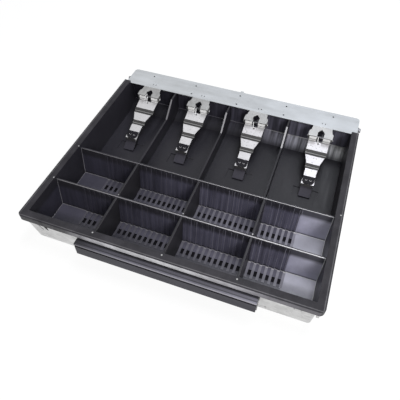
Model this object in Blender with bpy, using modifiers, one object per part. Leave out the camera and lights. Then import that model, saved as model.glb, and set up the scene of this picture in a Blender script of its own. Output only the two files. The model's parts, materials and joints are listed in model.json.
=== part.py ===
# Cash register tray: a moulded money tray in a sheet steel drawer pan, with a steel bar
# across its back that carries four sprung note clips, and six lift-out coin dividers.
# Metres, +Z up, front towards -Y. The origin is under the middle of the object.

import math

import bmesh
import bpy
from mathutils import Matrix, Vector

# Moulded tray. Depths run down from the rim's top, setbacks run back from its front edge.
TRAY_WIDTH = 0.370
TRAY_SETBACK = 0.331
COMPARTMENT_DEPTH = 0.0501
TRAY_FLOOR = 0.0024
TRAY_WALL = 0.0020
BODY_INSET = 0.0080
RIM_THICKNESS = 0.0025
RIM_CORNER = 0.006
LIP_HEIGHT = 0.0080
LIP_WALL = 0.0018
WALL_TOP = 0.0060
WALL_CREST = 0.0024
FRONT_WALL_TOP = 0.0115
FRONT_WALL_LEAN = 0.0045
MIDDLE_WALL_SETBACK = 0.0718
MAIN_WALL_SETBACK = 0.1342
FRONT_FACE_LEAN = 0.0050
REAR_FACE_LEAN = 0.0061

# Note compartments.
NOTE_WALL_PLACES = (-0.0980, -0.0085, 0.0848)
NOTE_WALL = 0.0024
NOTE_SADDLE_DEPTH = 0.0270
NOTE_SADDLE_RUN = 0.0240
NOTE_WALL_REACH = 0.0160
NOTE_REAR_UNDER_BAR = 0.0085
NOTE_RAMP_RUN = 0.0215
NOTE_RAMP_RISE = 0.0100
FOOT_POCKET_WIDTH = 0.0360
FOOT_POCKET_DEPTH = 0.0010
FOOT_POCKET_MARGIN = 0.0035

# Grooves and floor slots that hold the coin dividers.
GROOVE_PITCH = 0.00734
GROOVE_WIDTH = 0.0040
GROOVES_EACH_SIDE = 18
RIB_HEIGHT = 0.0009
FLOOR_RIB_HEIGHT = 0.0005
FLOOR_RIB_RUN = 0.0240
SLOT_SETBACK = 0.0120
SLOT_LENGTH = 0.0074
SLOT_DEPTH = 0.0018
DIVIDER_GROOVES = (-12, 0, 12)
DIVIDER_THICKNESS = 0.0030

# Steel drawer pan.
PAN_SHEET = 0.0008
PAN_FLOOR_GAP = 0.0012
PAN_SIDE_GAP = 0.0004
PAN_CORNER = 0.0040
PAN_FRONT_SETBACK = 0.0024
PAN_FRONT_SLOPE = 0.200
PAN_REAR_INSET = 0.0030
DRAIN_HOLE_RADIUS = 0.0012
DRAIN_HOLE_OFFSET = 0.0090
DRAIN_HOLE_DEPTH = 0.0450

# Slots beside the pan's front corners: inset from the rim's side and depth of each corner.
THIN_SLOT = ((0.0210, 0.0110), (0.0228, 0.0110), (0.0258, 0.0280), (0.0240, 0.0280))
WEDGE_SLOT = ((0.0285, 0.0118), (0.0345, 0.0100), (0.0338, 0.0252), (0.0316, 0.0252))

# Side runners of the pan.
RUNNER_DEPTH = 0.0165
RUNNER_HEIGHT = 0.0045
RUNNER_WIDTH = 0.0034
RUNNER_STARTS = {"left": 0.0080, "right": 0.0040}
RUNNER_END_INSET = 0.0050

# Pull handle and its steel bracket.
HANDLE_LEFT = -0.1050
HANDLE_LENGTH = 0.2210
HANDLE_PROJECTION = 0.0084
HANDLE_TOP = 0.0094
HANDLE_HEIGHT = 0.0208
HANDLE_WALL = 0.0018
HANDLE_HOOK = 0.0030
HANDLE_GROOVE = 0.0010
BRACKET_SHEET = 0.0012
BRACKET_OVERHANG = 0.0010
BRACKET_BACK_HEIGHT = 0.0120
HANDLE_SCREW_INSET = 0.0280

# Clip bar.
BAR_SHEET = 0.0012
BAR_TOP = 0.0045
BAR_DEPTH = 0.0380
BAR_END_INSET = 0.0018
BAR_REAR_FLANGE = 0.0155
BAR_END_FLANGE = 0.0095
BAR_CORNER = 0.0050
BAR_TAB_WIDTH = 0.0050
BAR_TAB_LENGTH = 0.0030
BAR_HOLE_RADIUS = 0.0014
REAR_HOLE_PLACES = (-0.1465, -0.0738, 0.0, 0.0737, 0.1450)
REAR_HOLE_INSET = 0.0095
FRONT_HOLE_PLACES = (-0.0738, 0.0, 0.0738)
FRONT_HOLE_INSET = 0.0070
SLIT_INSET = 0.0065
SLIT_LENGTH = 0.0030
SLIT_WIDTH = 0.0010
SLIT_SPREAD = 0.0044
SCREW_RADIUS = 0.0020
SCREW_HEAD_RADIUS = 0.0034
SCREW_HEAD = 0.0040
SCREW_INSET = 0.0180
SCREW_DEPTH = 0.0102

# Note clips.
CLIP_PLACES = (-0.1370, -0.0546, 0.0373, 0.1344)
TONGUE_ROOT = 0.0270
TONGUE_WIDTH = 0.0350
TONGUE_FLARE = 0.0017
TONGUE_REACH = 0.0200
TONGUE_DROP = 0.0026
TONGUE_OPENING = 0.0095
TONGUE_APEX_REACH = 0.0060
PIVOT_REACH = 0.0150
PIVOT_DEPTH = 0.0126
PIN_RADIUS = 0.0015
PIN_OVERHANG = 0.0011
EAR_RADIUS = 0.0038
ARM_SHEET = 0.0012
ARM_DROP = 0.0032
ARM_KNUCKLE_RADIUS = 0.00435
ARM_KNUCKLE_CAVITY = 0.0032
ARM_ANGLE = 16.0
ARM_WIDTH = 0.0303
ARM_REACH = 0.0772
ARM_LIP = 0.0024
GROOVE_DIP = 0.0018
BAND_STARTS = (0.0208, 0.0437)
BAND_LENGTHS = (0.0094, 0.0083)
BAND_FLARE = 0.0009
FOOT_WIDTH = 0.0164
FOOT_CAP = 0.0012
SPRING_WIRE = 0.0010
SPRING_RADIUS = 0.0024
SPRING_PITCH = 0.00170
SPRING_TURNS = 3
CURL_POINTS = 10

# Running and seating gaps.
SEAT_GAP = 0.0003
HOLE_GAP = 0.0003

CURVE_STEPS = 8

rim_top = PAN_SHEET + PAN_FLOOR_GAP + TRAY_FLOOR + COMPARTMENT_DEPTH
half_width = TRAY_WIDTH / 2
body_half = half_width - BODY_INSET
inner_half = body_half - TRAY_WALL
pan_half = body_half + PAN_SIDE_GAP + PAN_SHEET
bar_half = half_width - BAR_END_INSET
front_edge = -(TRAY_SETBACK + BAR_TAB_LENGTH - HANDLE_PROJECTION) / 2
bar_setback = TRAY_SETBACK - BAR_DEPTH
rear_hole_setback = TRAY_SETBACK - REAR_HOLE_INSET
front_hole_setback = bar_setback + FRONT_HOLE_INSET
slit_setback = bar_setback + SLIT_INSET
screw_setback = bar_setback + SCREW_INSET
tongue_setback = bar_setback - TONGUE_REACH
tongue_apex = bar_setback - TONGUE_APEX_REACH
pivot_setback = bar_setback - PIVOT_REACH
note_rear_wall = bar_setback + NOTE_REAR_UNDER_BAR
note_ramp_start = note_rear_wall - NOTE_RAMP_RUN
note_wall_high = bar_setback - NOTE_WALL_REACH
note_saddle_end = note_wall_high - NOTE_SADDLE_RUN
pan_rear_setback = TRAY_SETBACK - PAN_REAR_INSET

AXIS_FRAMES = {
    "X": Matrix(((0, 0, 1, 0), (1, 0, 0, 0), (0, 1, 0, 0), (0, 0, 0, 1))),
    "Y": Matrix(((0, 1, 0, 0), (0, 0, 1, 0), (1, 0, 0, 0), (0, 0, 0, 1))),
    "Z": Matrix.Identity(4),
}


def up(depth):
    """Height of a point that lies this far below the rim's top."""
    return rim_top - depth


def back(setback):
    """Y of a point that lies this far behind the rim's front edge."""
    return front_edge + setback


def clear_scene():
    for obj in list(bpy.data.objects):
        bpy.data.objects.remove(obj, do_unlink=True)


def make_collection(name):
    collection = bpy.data.collections.new(name)
    bpy.context.scene.collection.children.link(collection)
    return collection


def make_material(name, color, roughness, metallic):
    material = bpy.data.materials.new(name)
    material.use_nodes = True
    shader = material.node_tree.nodes["Principled BSDF"]
    shader.inputs["Base Color"].default_value = (*color, 1.0)
    shader.inputs["Roughness"].default_value = roughness
    shader.inputs["Metallic"].default_value = metallic
    return material


def place_mesh(name, bm, collection):
    bmesh.ops.recalc_face_normals(bm, faces=bm.faces)
    mesh = bpy.data.meshes.new(name)
    bm.to_mesh(mesh)
    bm.free()
    obj = bpy.data.objects.new(name, mesh)
    collection.objects.link(obj)
    return obj


def add_box(bm, low, high):
    size = [b - a for a, b in zip(low, high)]
    centre = [(a + b) / 2 for a, b in zip(low, high)]
    matrix = Matrix.Translation(centre) @ Matrix.Diagonal((*size, 1.0))
    return bmesh.ops.create_cube(bm, size=1.0, matrix=matrix)["verts"]


def box(name, low, high, collection):
    bm = bmesh.new()
    add_box(bm, low, high)
    return place_mesh(name, bm, collection)


def boxes(name, corner_pairs, collection):
    bm = bmesh.new()
    for low, high in corner_pairs:
        add_box(bm, low, high)
    return place_mesh(name, bm, collection)


def rod(name, start, end, radius, sides, collection):
    """A round bar from start to end."""
    direction = Vector(end) - Vector(start)
    turn = direction.to_track_quat("Z", "Y").to_matrix().to_4x4()
    matrix = Matrix.Translation((Vector(start) + Vector(end)) / 2) @ turn
    bm = bmesh.new()
    bmesh.ops.create_cone(bm, cap_ends=True, segments=sides, radius1=radius, radius2=radius,
                          depth=direction.length, matrix=matrix)
    return place_mesh(name, bm, collection)


def prism(name, points, start, end, axis, collection):
    """A flat outline drawn across an axis and extruded along it."""
    curve = bpy.data.curves.new(name, "CURVE")
    curve.dimensions = "2D"
    curve.fill_mode = "BOTH"
    curve.extrude = (end - start) / 2
    spline = curve.splines.new("POLY")
    spline.points.add(len(points) - 1)
    for point, (a, b) in zip(spline.points, points):
        point.co = (a, b, 0.0, 1.0)
    spline.use_cyclic_u = True
    return curve_to_mesh(name, curve, axis, (start + end) / 2, collection)


def curve_to_mesh(name, curve, axis, shift, collection):
    drawn = bpy.data.objects.new(name + "_drawn", curve)
    bpy.context.scene.collection.objects.link(drawn)
    graph = bpy.context.evaluated_depsgraph_get()
    mesh = bpy.data.meshes.new_from_object(drawn.evaluated_get(graph))
    bpy.data.objects.remove(drawn, do_unlink=True)
    bm = bmesh.new()
    bm.from_mesh(mesh)
    bpy.data.meshes.remove(mesh)
    bmesh.ops.remove_doubles(bm, verts=bm.verts, dist=0.000002)
    offset = Matrix.Translation((0.0, 0.0, shift))
    bmesh.ops.transform(bm, matrix=AXIS_FRAMES[axis] @ offset, verts=bm.verts)
    return place_mesh(name, bm, collection)


def combine(target, cutter, operation):
    modifier = target.modifiers.new(cutter.name, "BOOLEAN")
    modifier.operation = operation
    modifier.solver = "EXACT"
    modifier.object = cutter
    cutter.hide_render = True
    cutter.display_type = "WIRE"


def cut(target, *cutters):
    for cutter in cutters:
        combine(target, cutter, "DIFFERENCE")


def join(target, *pieces):
    for piece in pieces:
        combine(target, piece, "UNION")


def round_edges(obj, width, segments, angle=40.0):
    modifier = obj.modifiers.new("rounded_edges", "BEVEL")
    modifier.width = width
    modifier.segments = segments
    modifier.limit_method = "ANGLE"
    modifier.angle_limit = math.radians(angle)


def dress(obj, material, smooth=None):
    obj.data.materials.append(material)
    if smooth is not None:
        obj.data.shade_smooth()
        obj.data.set_sharp_from_angle(angle=math.radians(smooth))


def arc(centre, radius, start, end, steps):
    """Points along an arc, angles in degrees."""
    points = []
    for step in range(steps + 1):
        angle = math.radians(start + (end - start) * step / steps)
        points.append((centre[0] + radius * math.cos(angle), centre[1] + radius * math.sin(angle)))
    return points


def leaning_face(top_setback, foot_setback):
    """Setback of a leaning wall face at any depth, as a function."""
    slope = (foot_setback - top_setback) / (COMPARTMENT_DEPTH - WALL_TOP)
    return lambda depth: top_setback + slope * (depth - WALL_TOP)


# The two cross walls widen downwards: each face leans away from the wall's crest.
front_wall_inner = leaning_face(FRONT_WALL_TOP, FRONT_WALL_TOP + FRONT_WALL_LEAN)
middle_wall_front = leaning_face(MIDDLE_WALL_SETBACK - WALL_CREST / 2,
                                 MIDDLE_WALL_SETBACK - WALL_CREST / 2 - FRONT_FACE_LEAN)
middle_wall_rear = leaning_face(MIDDLE_WALL_SETBACK + WALL_CREST / 2,
                                MIDDLE_WALL_SETBACK + WALL_CREST / 2 + REAR_FACE_LEAN)
main_wall_front = leaning_face(MAIN_WALL_SETBACK - WALL_CREST / 2,
                               MAIN_WALL_SETBACK - WALL_CREST / 2 - FRONT_FACE_LEAN)
main_wall_rear = leaning_face(MAIN_WALL_SETBACK + WALL_CREST / 2,
                              MAIN_WALL_SETBACK + WALL_CREST / 2 + REAR_FACE_LEAN)

COIN_ROWS = {"front": (front_wall_inner, middle_wall_front), "rear": (middle_wall_rear, main_wall_front)}


def side_profile(points):
    """Setback and depth pairs as Y and Z pairs."""
    return [(back(setback), up(depth)) for setback, depth in points]


def trough(name, front_face, rear_face, cutters):
    """The space between two leaning faces, from the compartment floor to above the rim."""
    over = -0.002
    points = [(front_face(over), over), (front_face(COMPARTMENT_DEPTH), COMPARTMENT_DEPTH),
              (rear_face(COMPARTMENT_DEPTH), COMPARTMENT_DEPTH), (rear_face(over), over)]
    return prism(name, side_profile(points), -inner_half, inner_half, "X", cutters)


def wall_core(name, front_face, rear_face, cutters):
    """The hollow under a cross wall, as deep as the wall's two skins leave room for."""
    narrowest = 0.0010
    spread = (rear_face(COMPARTMENT_DEPTH) - front_face(COMPARTMENT_DEPTH) - WALL_CREST)
    widening = spread / (COMPARTMENT_DEPTH - WALL_TOP)
    top = WALL_TOP + (2 * TRAY_WALL + narrowest - WALL_CREST) / widening
    bottom = COMPARTMENT_DEPTH + TRAY_FLOOR + 0.001
    points = [(front_face(top) + TRAY_WALL, top), (rear_face(top) - TRAY_WALL, top),
              (rear_face(bottom) - TRAY_WALL, bottom), (front_face(bottom) + TRAY_WALL, bottom)]
    return prism(name, side_profile(points), -inner_half, inner_half, "X", cutters)


def groove_x(index):
    return index * GROOVE_PITCH


def repeat_along_x(name, source, places, collection):
    """One object that holds a copy of source at each X place; source is removed."""
    bm = bmesh.new()
    for place in places:
        before = len(bm.verts)
        bm.from_mesh(source.data)
        bm.verts.ensure_lookup_table()
        bmesh.ops.translate(bm, vec=(place, 0.0, 0.0), verts=bm.verts[before:])
    bpy.data.objects.remove(source, do_unlink=True)
    return place_mesh(name, bm, collection)


def divider_ribs(row, front_face, rear_face, cutters):
    """Ribs between the grooves: on the rear wall and along the floor, and on the front wall."""
    rib = GROOVE_PITCH - GROOVE_WIDTH
    places = [groove_x(index - 0.5) for index in range(-GROOVES_EACH_SIDE, GROOVES_EACH_SIDE + 2)]
    top = WALL_TOP + 0.0015
    floor = COMPARTMENT_DEPTH
    root = 0.0006
    run = rear_face(floor) - FLOOR_RIB_RUN
    rear_points = [(rear_face(top) + root, top), (rear_face(top) - RIB_HEIGHT, top),
                   (rear_face(floor) - RIB_HEIGHT, floor - FLOOR_RIB_HEIGHT),
                   (run, floor - FLOOR_RIB_HEIGHT), (run, floor + root),
                   (rear_face(floor) + root, floor + root)]
    front_points = [(front_face(top) - root, top), (front_face(top) + RIB_HEIGHT, top),
                    (front_face(floor) + RIB_HEIGHT, floor + root),
                    (front_face(floor) - root, floor + root)]
    rear_rib = prism("rib", side_profile(rear_points), -rib / 2, rib / 2, "X", cutters)
    front_rib = prism("rib", side_profile(front_points), -rib / 2, rib / 2, "X", cutters)
    return (repeat_along_x(row + "_row_rear_ribs", rear_rib, places, cutters),
            repeat_along_x(row + "_row_front_ribs", front_rib, places, cutters))


def slot_range(rear_face):
    """First and last setback of a floor slot."""
    last = rear_face(COMPARTMENT_DEPTH) - SLOT_SETBACK
    return last - SLOT_LENGTH, last


def floor_slots(row, rear_face, cutters):
    first, last = slot_range(rear_face)
    pairs = []
    for index in range(-GROOVES_EACH_SIDE, GROOVES_EACH_SIDE + 1):
        x = groove_x(index)
        low = (x - GROOVE_WIDTH / 2, back(first), up(COMPARTMENT_DEPTH + SLOT_DEPTH))
        high = (x + GROOVE_WIDTH / 2, back(last), up(COMPARTMENT_DEPTH - 0.001))
        pairs.append((low, high))
    return boxes(row + "_row_slots", pairs, cutters)


def note_bays():
    """Left and right side of each note compartment."""
    edges = [-inner_half]
    for place in NOTE_WALL_PLACES:
        edges += [place - NOTE_WALL / 2, place + NOTE_WALL / 2]
    edges.append(inner_half)
    return list(zip(edges[0::2], edges[1::2]))


def foot_front():
    """Setback of the front of a clip's foot, where it meets the floor."""
    return pivot_setback - ARM_REACH * math.cos(math.radians(ARM_ANGLE)) - 0.0120


def build_tray(parts, cutters, material):
    over = -0.002
    below = COMPARTMENT_DEPTH + TRAY_FLOOR
    rear_limit = bar_setback - 0.0005
    bm = bmesh.new()
    add_box(bm, (-half_width, back(0.0), up(LIP_HEIGHT)), (half_width, back(rear_limit), up(0.0)))
    corners = [edge for edge in bm.edges
               if all(abs(vert.co.y - back(0.0)) < 1e-6 for vert in edge.verts)
               and abs(edge.verts[0].co.z - edge.verts[1].co.z) > 1e-6]
    bmesh.ops.bevel(bm, geom=corners, offset=RIM_CORNER, segments=4, profile=0.5, affect="EDGES")
    tray = place_mesh("money_tray", bm, parts)

    under_rim = box("under_rim", (-half_width + LIP_WALL, back(LIP_WALL), up(LIP_HEIGHT + 0.001)),
                    (half_width - LIP_WALL, back(TRAY_SETBACK), up(RIM_THICKNESS)), cutters)
    rear_outer = note_rear_wall + TRAY_WALL
    front_top = FRONT_WALL_TOP - TRAY_WALL
    body_points = [(front_top, 0.0012), (front_top + FRONT_WALL_LEAN, below),
                   (note_ramp_start, below), (rear_outer, below - NOTE_RAMP_RISE), (rear_outer, 0.0012)]
    body = prism("tray_body", side_profile(body_points), -body_half, body_half, "X", cutters)
    shelf_half = bar_half - BAR_SHEET - SEAT_GAP
    shelf_rear = TRAY_SETBACK - BAR_SHEET - SEAT_GAP
    shelf = box("rear_shelf", (-shelf_half, back(rear_limit - 0.002), up(WALL_TOP + RIM_THICKNESS)),
                (shelf_half, back(shelf_rear), up(WALL_TOP)), cutters)
    lug_inner = pan_half + SEAT_GAP
    lug_front = screw_setback - 0.008
    lugs = []
    for side in (-1, 1):
        low_x, high_x = sorted((side * lug_inner, side * shelf_half))
        low = (low_x, back(lug_front), up(SCREW_DEPTH + 0.0045))
        high = (high_x, back(lug_front + 0.016), up(WALL_TOP + 0.001))
        lugs.append((low, high))
    lug_pair = boxes("screw_lugs", lugs, cutters)
    above_shelf = box("above_shelf", (-half_width - 0.001, back(rear_limit), up(WALL_TOP)),
                      (half_width + 0.001, back(TRAY_SETBACK + 0.001), up(over)), cutters)
    join(tray, body)
    cut(tray, under_rim_ring(under_rim, cutters))
    join(tray, shelf, lug_pair)
    cut(tray, above_shelf)

    recess = box("inner_recess", (-inner_half, back(FRONT_WALL_TOP), up(WALL_TOP)),
                 (inner_half, back(note_rear_wall), up(over)), cutters)
    cut(tray, recess)
    for row, (front_face, rear_face) in COIN_ROWS.items():
        cut(tray, trough(row + "_row_space", front_face, rear_face, cutters))
    floor = COMPARTMENT_DEPTH
    saddle_points = [(main_wall_rear(over), over), (main_wall_rear(NOTE_SADDLE_DEPTH), NOTE_SADDLE_DEPTH),
                     (note_saddle_end, NOTE_SADDLE_DEPTH), (note_wall_high, WALL_TOP),
                     (note_wall_high, over)]
    cut(tray, prism("note_saddle", side_profile(saddle_points), -inner_half, inner_half, "X", cutters))
    bay_points = [(main_wall_rear(over), over), (main_wall_rear(floor), floor), (note_ramp_start, floor),
                  (note_rear_wall, floor - NOTE_RAMP_RISE), (note_rear_wall, over)]
    for number, (left, right) in enumerate(note_bays(), 1):
        cut(tray, prism(f"note_bay_{number}", side_profile(bay_points), left, right, "X", cutters))
    cut(tray, wall_core("middle_wall_core", middle_wall_front, middle_wall_rear, cutters),
        wall_core("main_wall_core", main_wall_front, main_wall_rear, cutters))
    for row, (front_face, rear_face) in COIN_ROWS.items():
        join(tray, *divider_ribs(row, front_face, rear_face, cutters))
        cut(tray, floor_slots(row, rear_face, cutters))
    pockets = []
    pocket_front = foot_front() - FOOT_POCKET_MARGIN
    for place in CLIP_PLACES:
        low = (place - FOOT_POCKET_WIDTH / 2, back(pocket_front), up(floor + FOOT_POCKET_DEPTH))
        high = (place + FOOT_POCKET_WIDTH / 2, back(pocket_front + 0.0200), up(floor - 0.001))
        pockets.append((low, high))
    cut(tray, boxes("foot_pockets", pockets, cutters))
    for side in (-1, 1):
        cut(tray, screw_bore(side, "tray", cutters))
    dress(tray, material, 30)
    return tray


def under_rim_ring(under_rim, cutters):
    """The space under the rim, between its lip and the body's walls."""
    below = LIP_HEIGHT + 0.002
    lean = FRONT_WALL_LEAN * (below - WALL_TOP) / (COMPARTMENT_DEPTH - WALL_TOP)
    front_top = FRONT_WALL_TOP - TRAY_WALL
    keep_points = [(front_top, 0.0), (front_top + lean, below),
                   (TRAY_SETBACK + 0.01, below), (TRAY_SETBACK + 0.01, 0.0)]
    keep = prism("body_keep", side_profile(keep_points), -body_half, body_half, "X", cutters)
    cut(under_rim, keep)
    return under_rim


def screw_bore(side, name, cutters):
    outer = half_width + 0.004
    inner = body_half - 0.004
    low, high = sorted((side * inner, side * outer))
    word = "left" if side < 0 else "right"
    return rod(f"{name}_bore_{word}", (low, back(screw_setback), up(SCREW_DEPTH)),
               (high, back(screw_setback), up(SCREW_DEPTH)), SCREW_RADIUS + HOLE_GAP, 16, cutters)


def pan_front(depth):
    """Setback of the pan's front wall outside: upright behind the lip, then leaning back."""
    return PAN_FRONT_SETBACK + PAN_FRONT_SLOPE * max(0.0, depth - LIP_HEIGHT)


def pan_ring(bm, setback, depth, half, corner):
    """A rounded rectangle of edges at one height of the pan."""
    low_y = back(setback)
    high_y = back(pan_rear_setback)
    points = []
    centres = ((half - corner, low_y + corner, -90), (half - corner, high_y - corner, 0),
               (-half + corner, high_y - corner, 90), (-half + corner, low_y + corner, 180))
    for x, y, start in centres:
        points += arc((x, y), corner, start, start + 90, 3)
    verts = [bm.verts.new((x, y, up(depth))) for x, y in points]
    edges = [bm.edges.new((verts[i - 1], verts[i])) for i in range(len(verts))]
    return verts, edges


def build_pan(parts, cutters, material):
    top = RIM_THICKNESS + SEAT_GAP
    bend = 0.0010
    levels = (top, LIP_HEIGHT, rim_top - bend)
    bm = bmesh.new()
    rings = [pan_ring(bm, pan_front(depth), depth, pan_half, PAN_CORNER) for depth in levels]
    rings.append(pan_ring(bm, pan_front(rim_top) + bend, rim_top, pan_half - bend, PAN_CORNER - bend))
    for (_, upper), (_, lower) in zip(rings, rings[1:]):
        bmesh.ops.bridge_loops(bm, edges=upper + lower)
    bm.faces.new(rings[-1][0])
    pan = place_mesh("drawer_pan", bm, parts)
    face_pan_outwards(pan)
    solidify = pan.modifiers.new("sheet", "SOLIDIFY")
    solidify.thickness = PAN_SHEET
    solidify.offset = -1.0
    solidify.use_even_offset = True

    under_shelf = up(WALL_TOP + RIM_THICKNESS + SEAT_GAP)
    step = box("rear_step", (-half_width, back(bar_setback - 0.003), under_shelf),
               (half_width, back(TRAY_SETBACK), up(0.0)), cutters)
    cut(pan, step, *front_slots(cutters))
    for side in (-1, 1):
        cut(pan, screw_bore(side, "pan", cutters))
        cut(pan, handle_screw_bore(side, "pan_handle", cutters))
    hole_x = HANDLE_LEFT + HANDLE_LENGTH + DRAIN_HOLE_OFFSET
    hole_z = up(DRAIN_HOLE_DEPTH)
    cut(pan, rod("drain_hole", (hole_x, back(0.0), hole_z), (hole_x, back(0.016), hole_z),
                 DRAIN_HOLE_RADIUS, 12, cutters))
    dress(pan, material, 30)
    return pan


def face_pan_outwards(pan):
    """Solidify works inwards from outward faces; an open sheet has no inside of its own."""
    mesh = pan.data
    lowest = min(mesh.polygons, key=lambda polygon: polygon.center.z)
    if lowest.normal.z > 0.0:
        mesh.flip_normals()


def front_slots(cutters):
    """A thin slot and a wedge-shaped one beside each front corner of the pan."""
    slots = []
    for side in (-1, 1):
        for name, corners in (("thin_slot", THIN_SLOT), ("wedge_slot", WEDGE_SLOT)):
            points = [(up(depth), side * (half_width - inset)) for inset, depth in corners]
            slots.append(prism(f"{name}_{side}", points, back(0.0), back(0.0100), "Y", cutters))
    return slots


def handle_screw_frame(side):
    """Place and outward direction of a handle screw, square to the leaning front wall."""
    depth = HANDLE_TOP + HANDLE_WALL + BRACKET_SHEET + BRACKET_BACK_HEIGHT * 0.55
    middle = HANDLE_LEFT + HANDLE_LENGTH / 2
    reach = HANDLE_LENGTH / 2 - HANDLE_SCREW_INSET
    point = Vector((middle + side * reach, back(pan_front(depth)), up(depth)))
    normal = Vector((0.0, -1.0, -PAN_FRONT_SLOPE)).normalized()
    return point, normal


def handle_screw_bore(side, name, cutters):
    point, normal = handle_screw_frame(side)
    word = "left" if side < 0 else "right"
    return rod(f"{name}_bore_{word}", point - normal * 0.004, point + normal * 0.004,
               SCREW_RADIUS + HOLE_GAP, 16, cutters)


def build_handle(parts, cutters, handle_material, steel, screw_material):
    """The bracket is a folded channel on the pan's front; the grip snaps over its two outer flanges."""
    front = -HANDLE_PROJECTION
    top = HANDLE_TOP
    bottom = HANDLE_TOP + HANDLE_HEIGHT
    wall = HANDLE_WALL
    rear = pan_front(top) - 0.0012
    groove = top + 0.0032
    inner_front = front + wall
    inner_top = top + wall
    grip_points = [(rear, top), (front, top), (front, groove),
                   (front + HANDLE_GROOVE, groove), (front + HANDLE_GROOVE, groove + 0.0016),
                   (front, groove + 0.0016), (front, bottom), (front + HANDLE_HOOK + wall, bottom),
                   (front + HANDLE_HOOK + wall, bottom - wall), (inner_front, bottom - wall),
                   (inner_front, inner_top), (rear, inner_top)]
    left = HANDLE_LEFT
    right = HANDLE_LEFT + HANDLE_LENGTH
    grip = prism("pull_handle", side_profile(grip_points), left, right, "X", parts)
    round_edges(grip, 0.0005, 2)
    dress(grip, handle_material, 30)

    gap = SEAT_GAP
    sheet = BRACKET_SHEET
    plate_top = inner_top + gap
    plate_front = inner_front + gap
    plate_low = bottom - wall - gap
    back_low = plate_top + sheet + BRACKET_BACK_HEIGHT
    flange_top = pan_front(plate_top) - gap
    flange_low = pan_front(back_low) - gap
    points = [(flange_top, plate_top), (plate_front, plate_top), (plate_front, plate_low),
              (plate_front + sheet, plate_low), (plate_front + sheet, plate_top + sheet),
              (flange_top - sheet, plate_top + sheet), (flange_low - sheet, back_low),
              (flange_low, back_low)]
    bracket = prism("handle_bracket", side_profile(points), left - BRACKET_OVERHANG,
                    right + BRACKET_OVERHANG, "X", parts)
    for side in (-1, 1):
        cut(bracket, handle_screw_bore(side, "bracket", cutters))
    dress(bracket, steel)

    for side in (-1, 1):
        word = "left" if side < 0 else "right"
        point, normal = handle_screw_frame(side)
        inside = -normal * (PAN_SHEET + SEAT_GAP)
        shank = rod(f"handle_shank_{word}", point + inside - normal * 0.001, point + normal * 0.0022,
                    SCREW_RADIUS, 16, cutters)
        head = rod(f"handle_screw_{word}", point + inside - normal * 0.0022, point + inside,
                   SCREW_HEAD_RADIUS, 20, parts)
        join(head, shank)
        dress(head, screw_material, 30)


def build_runners(parts, material):
    """A folded steel runner along each side of the pan."""
    inner = pan_half + SEAT_GAP
    for side in (-1, 1):
        word = "left" if side < 0 else "right"
        low_x, high_x = sorted((side * inner, side * (inner + RUNNER_WIDTH)))
        runner = box(f"runner_{word}",
                     (low_x, back(RUNNER_STARTS[word]), up(RUNNER_DEPTH + RUNNER_HEIGHT)),
                     (high_x, back(bar_setback - RUNNER_END_INSET), up(RUNNER_DEPTH)), parts)
        round_edges(runner, 0.0006, 2)
        dress(runner, material, 30)


def tongue_height(setback):
    """Depth of the tongue's top: level with the bar at its root, lower towards the front."""
    share = (bar_setback - setback) / (bar_setback - tongue_setback)
    return BAR_TOP + TONGUE_DROP * max(0.0, share)


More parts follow.
